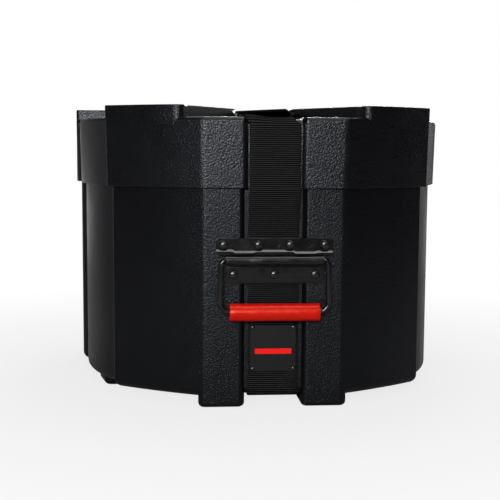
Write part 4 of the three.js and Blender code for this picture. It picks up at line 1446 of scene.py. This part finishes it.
@dataclass(frozen=True)
class Buckle:
    """Side-release buckle: a socket on the back strap and a plug that holds the tail."""

    half: float = 29.8
    opening: float = 26.5
    top: float = 300.2
    under: float = 288.0
    over: float = 304.0

    def block(self, x: Pair, y: Pair, z: Pair, corner: float = 0.0, edge: float = 0.0) -> Solid:
        """A block between three pairs of limits, with rounded corners and edges where asked.

        Args:
            x: left and right limits.
            y: front and back limits.
            z: low and high limits.
            corner: radius of its upright corners.
            edge: rounding of its other edges.

        Returns:
            A closed mesh in millimetres.
        """
        solid = prism(Outline.box(x, y, corner), *z)
        if edge:
            rounded(solid, sharp_edges(solid), edge, 3)
        return solid

    def socket(self) -> Solid:
        """The housing, open to the front, with its side windows and the strap's bar.

        Returns:
            A closed mesh in millimetres.
        """
        wide, under, over = (-self.opening, self.opening), self.under, self.over
        solid = self.block((-self.half, self.half), (-57.9, -6.1), (292.5, self.top), 5.0, 1.2)
        cuts = [
            self.block(wide, (-62.0, -20.5), (294.5, 298.7)),
            self.block(wide, (-16.4, -11.8), (under, over)),
            self.block(wide, (-12.0, 0.0), (297.1, over)),
            self.block(wide, (-12.0, 0.0), (under, 294.4)),
        ]
        for side in (-29.0, 29.0):
            cuts.append(self.block((side - 4.0, side + 4.0), (-46.5, -30.5), (294.9, 298.2), 1.0))
        for place in (-48.5, -45.0, -41.5, -38.0):
            cuts.append(self.block((-15.0, 15.0), (place, place + 1.5), (self.top - 0.6, over), 0.6))
        for cut in cuts:
            solid = joined(solid, cut, Join.TAKE)
        return solid

    def plug(self) -> Solid:
        """The part that pulls out, with its bar, its tongue and two sprung arms.

        Returns:
            A closed mesh in millimetres.
        """
        wide, under, over = (-self.opening, self.opening), self.under, self.over
        solid = self.block((-self.half, self.half), (-92.1, -58.5), (294.5, self.top), 5.0, 1.2)
        cuts = [
            self.block(wide, (-86.6, -81.4), (under, over)),
            self.block(wide, (-94.0, -86.4), (298.4, over)),
            self.block(wide, (-94.0, -86.4), (under, 296.7)),
            self.block((-19.0, 19.0), (-78.5, -64.5), (self.top - 0.7, over), 3.0),
        ]
        for cut in cuts:
            solid = joined(solid, cut, Join.TAKE)
        arms = [self.block((-7.0, 7.0), (-60.5, -32.5), (295.2, 298.0), 2.0, 0.5)]
        for arm, catch in (((-23.5, -19.5), (-28.6, -21.0)), ((19.5, 23.5), (21.0, 28.6))):
            arms.append(self.block(arm, (-60.5, -34.5), (295.2, 298.0), 1.2, 0.5))
            arms.append(self.block(catch, (-45.5, -32.0), (295.3, 297.9), 2.6, 0.5))
        for arm in arms:
            solid = joined(solid, arm, Join.ADD)
        return solid

    def build(self, finishes: Finishes) -> list[Piece]:
        """Builds and dresses both halves.

        Args:
            finishes: the case's materials.

        Returns:
            The finished halves.
        """
        return [
            finished(self.socket(), "buckle_socket_moulded", Part.LID, finishes.plastic, "buckle_socket"),
            finished(self.plug(), "buckle_plug_moulded", Part.PLUG, finishes.plastic, "buckle_plug"),
        ]


# Handle


@dataclass(frozen=True)
class Fastener:
    """A dome-headed rivet set through the wall, front towards -Y."""

    dome: float
    dome_height: float
    shank: float
    head: float
    head_height: float
    front: float
    steps: int = 28

    def build(self, side: float, height: float, rear: float) -> Solid:
        """One rivet at a place, with its inner head against a rear reach.

        Args:
            side: place across the front.
            height: place above the ground.
            rear: reach of the inner head's seat, towards -Y.

        Returns:
            A closed mesh in millimetres.
        """
        inner, lip, steps = rear - self.head_height, 0.3, 6
        profile = [(0.0, -inner), (self.head * 0.8, -inner), (self.head, -(rear - self.head_height * 0.6))]
        profile += [(self.head, -rear), (self.shank, -rear), (self.shank, -self.front)]
        profile += [(self.dome, -self.front), (self.dome, -self.front - lip)]
        for index in range(1, steps + 1):
            angle = math.pi / 2 * index / steps
            radius = self.dome * math.cos(angle) if index < steps else 0.0
            profile.append((radius, -self.front - lip - (self.dome_height - lip) * math.sin(angle)))
        return moved(turned(profile, self.steps), x=side, z=height)


@dataclass(frozen=True)
class DropHandle:
    """Plates, rolled knuckle, wire bail, tube grip and their rivets."""

    plate_rear: float = 191.8
    plate_front: float = 193.6
    back_rear: float = 190.3
    back_front: float = 191.5
    pivot_reach: float = 199.3
    pivot_height: float = 152.5
    knuckle_half: float = 49.0
    bail_half: float = 54.0
    wire: float = 2.8
    grip_height: float = 98.6
    grip_half: float = 45.2
    grip_radius: float = 8.9
    upper_rivets: tuple[float, ...] = (-50.8, -16.0, 16.0, 50.8)
    upper_height: float = 165.4
    lower_rivets: tuple[float, ...] = (-41.0, 0.0, 41.0)
    lower_height: float = 135.8
    sheet: float = 1.1
    plate_edge: float = 0.45
    hole: float = 2.7
    # The wall steps in behind the strap's channel, as far out as step_half.
    step_half: float = 28.6
    # The wire runs below the pivot by wire_drop, and its necked ends are tucked in on the pivot.
    wire_drop: float = 1.4
    bail_end: float = 30.0
    neck: float = 0.34
    neck_from: float = 50.6
    tab_sides: tuple[float, ...] = (-31.8, 0.0, 32.1)
    tab_half: float = 6.6
    tab_depth: float = 0.8
    slit_sides: tuple[float, ...] = (-13.1, -10.1, 9.3, 12.3)
    # Places across the front where the knuckle's face may step.
    jogs: tuple[float, ...] = (-40.2, -37.4, -22.6, -19.8, 19.6, 22.4, 37.0, 39.8, 49.0)

    def holes(self, plate: Solid, sides: Sequence[float], height: float) -> Solid:
        """Drills a row of rivet holes.

        Args:
            plate: sheet that is drilled, which is used up.
            sides: places of the holes across the front.
            height: height of the row.

        Returns:
            The drilled sheet.
        """
        rods = []
        for side in sides:
            rod = bmesh.new()
            bmesh.ops.create_cone(
                rod, cap_ends=True, segments=20, radius1=self.hole, radius2=self.hole, depth=14.0
            )
            rods.append(moved(swung(rod, UPRIGHT), side, -self.plate_front, height))
        return joined(plate, merged(rods), Join.TAKE)

    def tabs(self) -> list[Solid]:
        """Cutters for the half-round tabs that are pressed back into the upper sheet.

        Returns:
            One cutter for each tab.
        """
        low, high, half = 162.2, 174.0, self.tab_half
        made = []
        for side in self.tab_sides:
            left, right, bend = side - half, side + half, half - 0.2
            plan = Outline(path((left, low, bend), (right, low, bend), (right, high), (left, high)))
            made.append(stood_up(prism(plan, 0.0, 2.0), self.plate_front - self.tab_depth))
        return made

    def bead(self) -> Solid:
        """The folded lip along the sheet's foot, which steps over what is pressed behind it.

        Returns:
            A closed mesh in millimetres.
        """
        line = path((-58.2, 159.7), (-42.5, 159.7), (-39.5, 158.2), (-21.6, 158.2), (-18.6, 159.2))
        line += path((18.4, 159.2), (21.4, 157.5), (40.5, 157.5), (43.6, 158.3), (58.2, 158.3))
        section = [(-0.9, -1.5), (-0.9, 1.5), (0.9, 1.5), (1.9, 1.25)]
        section += [(2.2, 0.95), (2.0, 0.6), (0.45, -1.05), (-0.05, -1.5)]
        return swung(Sweep([(self.plate_front + out, up) for out, up in section], line).bm, ALONG_FRONT)

    def knuckle(self) -> Solid:
        """The rolled sheet that holds the bail: a rounded brow over a long, plain face.

        Returns:
            A closed mesh in millimetres.
        """
        brow, chin, middle = (151.6, 3.4), (149.9, 3.8), -200.4
        start, end, steps, brow_steps = 92, 330, 22, 9
        line = [(-192.8, 155.0)]
        for index in range(steps + 1):
            angle = math.radians(start + (end - start) * index / steps)
            height, radius = brow if index < brow_steps else chin
            line.append((middle + radius * math.cos(angle), height + radius * math.sin(angle)))
        bm = bmesh.new()
        verts = [bm.verts.new((-self.knuckle_half, y, z)) for y, z in line]
        edges = [bm.edges.new(pair) for pair in zip(verts, verts[1:])]
        place = -self.knuckle_half
        for stop in self.jogs:
            made = bmesh.ops.extrude_edge_only(bm, edges=edges)["geom"]
            ring = [item for item in made if isinstance(item, Vert)]
            bmesh.ops.translate(bm, verts=ring, vec=(stop - place, 0.0, 0.0))
            edges = [item for item in made if isinstance(item, Edge) and all(v in ring for v in item.verts)]
            place = stop
        inner, outer, in_front = 21.0, 39.0, -197.0
        pressed = [v for v in bm.verts if inner < abs(v.co.x) < outer and v.co.y < in_front]
        bmesh.ops.translate(bm, verts=pressed, vec=(0.0, 0.25, -0.35))
        bmesh.ops.recalc_face_normals(bm, faces=bm.faces)
        foremost = min(bm.faces, key=lambda face: face.calc_center_median().y)
        if foremost.normal.y > 0:
            bmesh.ops.reverse_faces(bm, faces=bm.faces)
        bmesh.ops.solidify(bm, geom=list(bm.faces), thickness=self.sheet)
        bmesh.ops.recalc_face_normals(bm, faces=bm.faces)
        return bm

    def plate(self, half: float, z: Pair, corner: float) -> Solid:
        """One of the two sheets in front, before it is cut."""
        return upright_plate((-half, half), z, (self.plate_rear, self.plate_front), corner, self.plate_edge, 3)

    def upper_sheet(self) -> Solid:
        """The sheet that bolts on above, with its tabs, its folded lip and the bail's knuckle.

        Returns:
            A closed mesh in millimetres.
        """
        sheet = self.plate(58.4, (155.0, 172.2), 3.2)
        sheet = joined(sheet, merged(self.tabs()), Join.TAKE)
        sheet = joined(sheet, self.knuckle(), Join.ADD)
        return joined(sheet, self.bead(), Join.ADD)

    def lower_sheet(self) -> Solid:
        """The sheet that bolts on below, with its slits.

        Returns:
            A closed mesh in millimetres.
        """
        sheet = self.plate(48.5, (128.4, 143.4), 3.8)
        slits = []
        for side in self.slit_sides:
            flat = prism(Outline.box((side - 0.5, side + 0.5), (135.9, 142.3)), 0.0, 4.0)
            slits.append(stood_up(flat, self.plate_rear - 0.2))
        return joined(sheet, merged(slits), Join.TAKE)

    def bail_line(self) -> list[Corner]:
        """Side and height of the wire's middle, from one tucked end to the other.

        Returns:
            The line's corners.
        """
        top, low, half = self.pivot_height - self.wire_drop, self.grip_height, self.bail_half
        left = path((-self.bail_end, top), (-half, top, 7.0), (-half, low, 10.0))
        return [*left, *path((half, low, 10.0), (half, top, 7.0), (self.bail_end, top))]

    def bail(self) -> Solid:
        """The wire bail, swept flat and stood up in front of the plates.

        Returns:
            A closed mesh in millimetres.
        """
        turns = [2 * math.pi * index / 20 for index in range(20)]
        section = [(self.wire * math.cos(turn), self.wire * math.sin(turn)) for turn in turns]
        bm = swung(Sweep(section, self.bail_line(), 20.0).bm, ALONG_FRONT)
        top, ease = self.pivot_height - self.wire_drop, 1.6
        for vert in bm.verts:
            if vert.co.z > top - 4.0:
                share = smooth((self.neck_from - abs(vert.co.x)) / ease)
                vert.co.y *= 1 - self.neck * share
                vert.co.z += share * (self.wire_drop - self.neck * (vert.co.z - top))
        return moved(bm, y=-self.pivot_reach)

    def grip(self) -> Solid:
        """The tube round the wire, slightly irregular, with soft open ends.

        Returns:
            A closed mesh in millimetres.
        """
        bore, out, end, lip, stretches = self.wire + 0.25, self.grip_radius, -self.grip_half, 1.2, 24
        profile = [(bore, end + 1.5), (bore, end + 0.3), (bore + 0.5, end)]
        profile += [(out - 1.0, end), (out - 0.25, end + 0.35), (out, end + lip)]
        for index in range(1, stretches):
            profile.append((out, end + lip + (2 * self.grip_half - 2 * lip) * index / stretches))
        profile += [(r, -y) for r, y in reversed(profile[:6])]
        profile.append(profile[0])
        bm = swung(turned(profile, 40), Matrix.Rotation(math.pi / 2, 3, "Z"))
        for vert in bm.verts:
            wobble = math.sin(vert.co.x * 0.21) * math.cos(vert.co.x * 0.083 + 1.0)
            vert.co.y *= 1 + 0.010 * wobble
            vert.co.z *= 1 + 0.008 * wobble
        return moved(bm, y=-self.pivot_reach, z=self.grip_height)

    def build(self, finishes: Finishes) -> list[Piece]:
        """Builds and dresses every piece of the handle.

        Args:
            finishes: the case's materials.

        Returns:
            The finished pieces.
        """
        steel, slot = finishes.steel, "black_steel"
        reach = (self.back_rear, self.back_front)
        back = upright_plate((-50.6, 50.6), (126.4, 168.5), reach, 3.5, self.plate_edge, 3)
        upper = self.holes(self.upper_sheet(), self.upper_rivets, self.upper_height)
        lower = self.holes(self.lower_sheet(), self.lower_rivets, self.lower_height)
        pieces = [
            finished(back, "handle_back_sheet", Part.BASE, steel, "handle_back_plate"),
            finished(upper, "handle_upper_sheet", Part.BASE, steel, "handle_upper_plate"),
            finished(lower, "handle_lower_sheet", Part.BASE, steel, "handle_lower_plate"),
        ]
        upper_count = len(self.upper_rivets)
        pieces += self.rivet_row(finishes, "upper", self.upper_rivets, self.upper_height, 1)
        pieces += self.rivet_row(finishes, "lower", self.lower_rivets, self.lower_height, upper_count + 1)
        bail, grip, red, body = self.bail(), self.grip(), finishes.grip, Part.HANDLE
        pieces.append(finished(bail, "handle_bail_wire", body, steel, "handle_bail", weigh=False))
        pieces.append(finished(grip, "handle_grip_tube", body, red, "handle_grip", weigh=False))
        return pieces

    def rivet_row(
        self, finishes: Finishes, row: str, sides: Sequence[float], height: float, first: int
    ) -> list[Piece]:
        """Rivets in a row, each with its washer inside the wall.

        Args:
            finishes: the case's materials.
            row: name of the row.
            sides: places of the rivets across the front.
            height: height of the row.
            first: number of the first washer.

        Returns:
            The finished rivets and washers.
        """
        front = self.plate_front + 0.05
        head = Fastener(dome=4.7, dome_height=2.5, shank=2.4, head=4.2, head_height=1.5, front=front)
        pieces = []
        for index, side in enumerate(sides):
            wall = 179.0 if abs(side) < self.step_half else 185.0
            name, washer = f"handle_{row}_rivet_{index + 1}", f"handle_washer_{first + index}"
            rivet, gloss = head.build(side, height, wall - 1.6), finishes.rivet
            pieces.append(finished(rivet, name + "_dome", Part.BASE, gloss, name, weigh=False))
            ring = moved(self.washer(wall), x=side, z=height)
            pieces.append(finished(ring, washer + "_ring", Part.BASE, finishes.zinc, washer))
        return pieces

    def washer(self, wall: float) -> Solid:
        """A flat ring with eased edges, against the wall's inner face.

        Args:
            wall: reach of the wall's inner face, towards -Y.

        Returns:
            A closed mesh in millimetres.
        """
        bore, ease, rim = self.hole, 5.4, 5.6
        section = [(bore, 0.3), (ease, 0.3), (rim, 0.55), (rim, 1.1), (ease, 1.3), (bore, 1.3), (bore, 0.3)]
        return turned([(radius, behind - wall) for radius, behind in section], 28)


@dataclass(frozen=True)
class NamePlate:
    """Bare plate on the strap, with four small rivets."""

    half: float = 23.0
    low: float = 36.8
    high: float = 83.6
    rear: float = 186.8
    front: float = 187.8
    margin: float = 2.4
    wall: float = 178.7

    def build(self, finishes: Finishes) -> list[Piece]:
        """Builds the plate and its rivets.

        Args:
            finishes: the case's materials.

        Returns:
            The finished pieces.
        """
        sides, reach = (-self.half, self.half), (self.rear, self.front)
        plate = upright_plate(sides, (self.low, self.high), reach, 3.0, 0.3, 2)
        pieces = [finished(plate, "name_plate_bare", Part.BASE, finishes.plate, "name_plate")]
        front = self.front + 0.05
        head = Fastener(dome=2.35, dome_height=1.15, shank=1.2, head=2.2, head_height=1.1, front=front, steps=20)
        out, heights = self.half - self.margin, (self.low + self.margin, self.high - self.margin)
        places = [(side, height) for height in heights for side in (-out, out)]
        for number, (side, height) in enumerate(places, 1):
            name = f"name_plate_rivet_{number}"
            rivet = head.build(side, height, self.wall)
            pieces.append(finished(rivet, name + "_dome", Part.BASE, finishes.rivet, name, weigh=False))
        return pieces


# Lining


@dataclass(frozen=True)
class FoamLining:
    """Wall liner, floor pad and lid pad of cut foam."""

    plan: CasePlan = CasePlan()
    drum: float = 162.0

    def disc(self, radius: float, low: float, high: float) -> Solid:
        """A round pad whose face is slightly crowned and whose edge is eased.

        Args:
            radius: radius of the pad.
            low: height of its underside.
            high: height of its crown.

        Returns:
            A closed mesh in millimetres.
        """
        profile = [(0.0, low), (radius - 1.5, low), (radius, low + 1.5), (radius, high - 3.0)]
        profile += [(radius - 1.0, high - 1.2), (radius - 3.0, high - 0.4)]
        profile += [(radius * 0.9, high - 0.15), (radius * 0.5, high), (0.0, high)]
        return swung(turned(profile, 96), UPRIGHT)

    def wall_liner(self) -> Solid:
        """The fitted ring between the drum and the shell.

        Returns:
            A closed mesh in millimetres.
        """
        plan = self.plan.hollow(9.5, bump_half=46, bump_foot=46, bump_front=175, bump_back=182)
        ring = prism(plan, 30.2, 248.5)
        core = bmesh.new()
        bmesh.ops.create_cone(
            core, cap_ends=True, segments=120, radius1=self.drum, radius2=self.drum, depth=240.0
        )
        return joined(ring, moved(core, z=140.0), Join.TAKE)

    def build(self, finishes: Finishes) -> list[Piece]:
        """Builds the three foam pieces.

        Args:
            finishes: the case's materials.

        Returns:
            The finished pieces.
        """
        foam = finishes.foam
        liner = finished(self.wall_liner(), "wall_liner_foam", Part.BASE, foam, "base_wall_liner")
        soft = liner.modifiers.new("eased", "BEVEL")
        soft.width = 0.002
        soft.segments = 3
        soft.limit_method = "ANGLE"
        soft.angle_limit = math.radians(50)
        disc = self.disc(self.drum, 17.9, 29.9)
        floor = finished(disc, "floor_pad_foam", Part.BASE, foam, "base_floor_pad")
        lid = self.disc(172.0, -286.1, -273.1)
        bmesh.ops.scale(lid, verts=lid.verts, vec=(1.0, 1.0, -1.0))
        bmesh.ops.reverse_faces(lid, faces=lid.faces)
        top = finished(lid, "lid_pad_foam", Part.LID, foam, "lid_pad")
        return [liner, floor, top]


# Studio


@dataclass(frozen=True)
class Studio:
    """Pale floor, soft lamps, plain world and the photograph's camera."""

    camera_place: Triple = (-0.1198, -1.2812, 0.2618)
    pitch: float = 84.7
    yaw: float = -5.0
    roll: float = 0.34
    lens: float = 79.56
    world: float = 0.012
    floor_grey: Colour = (0.38, 0.38, 0.38, 1.0)
    backdrop_from: float = 0.96
    backdrop_full: float = 0.995

    def camera(self) -> None:
        """Sets the camera at the photograph's angle."""
        data = bpy.data.cameras.new("camera")
        data.lens = self.lens
        data.sensor_width = 36.0
        made = bpy.data.objects.new("camera", data)
        bpy.context.scene.collection.objects.link(made)
        turn = Matrix.Rotation(math.radians(self.yaw), 4, "Z")
        turn @= Matrix.Rotation(math.radians(self.pitch), 4, "X")
        turn @= Matrix.Rotation(math.radians(self.roll), 4, "Z")
        made.matrix_world = Matrix.Translation(self.camera_place) @ turn
        bpy.context.scene.camera = made

    def lamp(self, name: str, place: Triple, aim: Triple, size: Pair, power: float) -> None:
        """One soft rectangular lamp aimed at a point.

        Args:
            name: name of the lamp.
            place: where it stands, in metres.
            aim: point that it faces.
            size: its width and height.
            power: its power in watts.
        """
        data = bpy.data.lights.new(name, "AREA")
        data.shape = "RECTANGLE"
        data.size, data.size_y = size
        data.energy = power
        made = bpy.data.objects.new(name, data)
        bpy.context.scene.collection.objects.link(made)
        made.location = place
        made.rotation_mode = "QUATERNION"
        made.rotation_quaternion = (Vector(aim) - Vector(place)).to_track_quat("-Z", "Y")

    def floor(self) -> None:
        """A pale floor that the camera sees as white, but for the case's soft shadow."""
        bm = bmesh.new()
        bmesh.ops.create_grid(bm, x_segments=1, y_segments=1, size=1.0)
        for vert in bm.verts:
            vert.co.x *= 1.8
            vert.co.y = 6.0 if vert.co.y > 0 else -1.25
        made = as_object(bm, "studio_floor")
        wire = Wiring.material("studio_floor_white")
        place = wire.places()
        reach = wire.add("VectorMath", {"operation": "LENGTH"})
        wire.feed(reach, 0, place)
        behind = wire.spread(wire.add("SeparateXYZ", Vector=place).outputs["Y"], 0.0, 1.0, 1.2, 1.8)
        near = wire.spread(reach.outputs["Value"], 0.80, 1.0, 0.22, 0.80)
        dull = wire.dress(Base_Color=self.floor_grey, Roughness=0.9, Specular_IOR_Level=0.1)
        glow = wire.add("Emission", Color=WHITE, Strength=1.0).outputs[0]
        share = wire.math("MULTIPLY", self.white_rays(wire, behind), near)
        shader = wire.tree.nodes["Principled BSDF"].outputs[0]
        wire.feed(wire.tree.nodes["Material Output"], "Surface", wire.row("MixShader", [share, shader, glow]))
        made.data.materials.append(dull)

    def white_rays(self, wire: Wiring, behind: Socket) -> Socket:
        """Rays that see white: the camera's, and mirrored ones as far as they run straight behind.

        Args:
            wire: nodes that are being wired.
            behind: share of a ray's way that is straight behind.

        Returns:
            Share of white that a ray sees.
        """
        rays = wire.add("LightPath").outputs
        mirrored = wire.math("MAXIMUM", rays["Is Glossy Ray"], rays["Is Transmission Ray"])
        return wire.math("MAXIMUM", rays["Is Camera Ray"], wire.math("MULTIPLY", mirrored, behind))

    def surroundings(self) -> None:
        """A dim world that the camera, and mirrored rays that pass straight behind, see as white."""
        bpy.context.scene.world = bpy.data.worlds.new("studio")
        wire = Wiring(bpy.context.scene.world)
        dim = wire.fill(wire.tree.nodes["Background"], {"Color": WHITE, "Strength": self.world})
        depth = wire.add("SeparateXYZ", Vector=wire.add("TexCoord").outputs["Generated"]).outputs["Y"]
        behind = wire.spread(depth, 0.0, 1.0, self.backdrop_from, self.backdrop_full, "SMOOTHSTEP")
        white = wire.add("Background", Color=WHITE).outputs[0]
        seen = wire.row("MixShader", [self.white_rays(wire, behind), dim.outputs[0], white])
        wire.feed(wire.tree.nodes["World Output"], "Surface", seen)

    def build(self) -> None:
        """Sets up everything round the case."""
        self.camera()
        self.surroundings()
        self.floor()
        self.lamp("key_front", (-0.48, -1.95, 0.64), (0.0, -0.1, 0.18), (0.9, 0.4), 32.0)
        self.lamp("front_soft", (0.15, -1.5, 1.1), (0.0, -0.2, 0.12), (1.6, 0.5), 4.4)
        self.lamp("overhead", (0.0, -0.45, 1.5), (0.0, -0.25, 0.15), (0.9, 0.35), 5.0)
        self.lamp("top_soft", (0.1, 0.9, 1.7), (0.0, 0.1, 0.25), (1.2, 0.9), 9.0)
        self.lamp("left_back", (-1.1, 1.5, 0.45), (-0.1, 0.0, 0.2), (1.4, 1.2), 0.9)
        self.lamp("left_side", (-1.5, 0.45, 0.45), (-0.15, 0.0, 0.2), (0.9, 0.9), 0.8)
        self.lamp("right_back", (1.6, 1.0, 0.60), (0.1, 0.0, 0.2), (1.0, 1.0), 3.0)
        self.lamp("rear_key", (0.5, 2.1, 0.72), (0.0, 0.15, 0.18), (0.9, 0.4), 28.0)
        bpy.context.scene.view_settings.view_transform = "Standard"


def main() -> None:
    """Builds the case piece by piece, then the studio round it."""
    logging.basicConfig(level=logging.INFO, format="%(message)s")
    finishes = Finishes()
    MouldedBase().build(finishes)
    MouldedLid().build(finishes)
    StrapSet().build(finishes)
    Buckle().build(finishes)
    DropHandle().build(finishes)
    NamePlate().build(finishes)
    FoamLining().build(finishes)
    Studio().build()


if __name__ == "__main__":
    main()
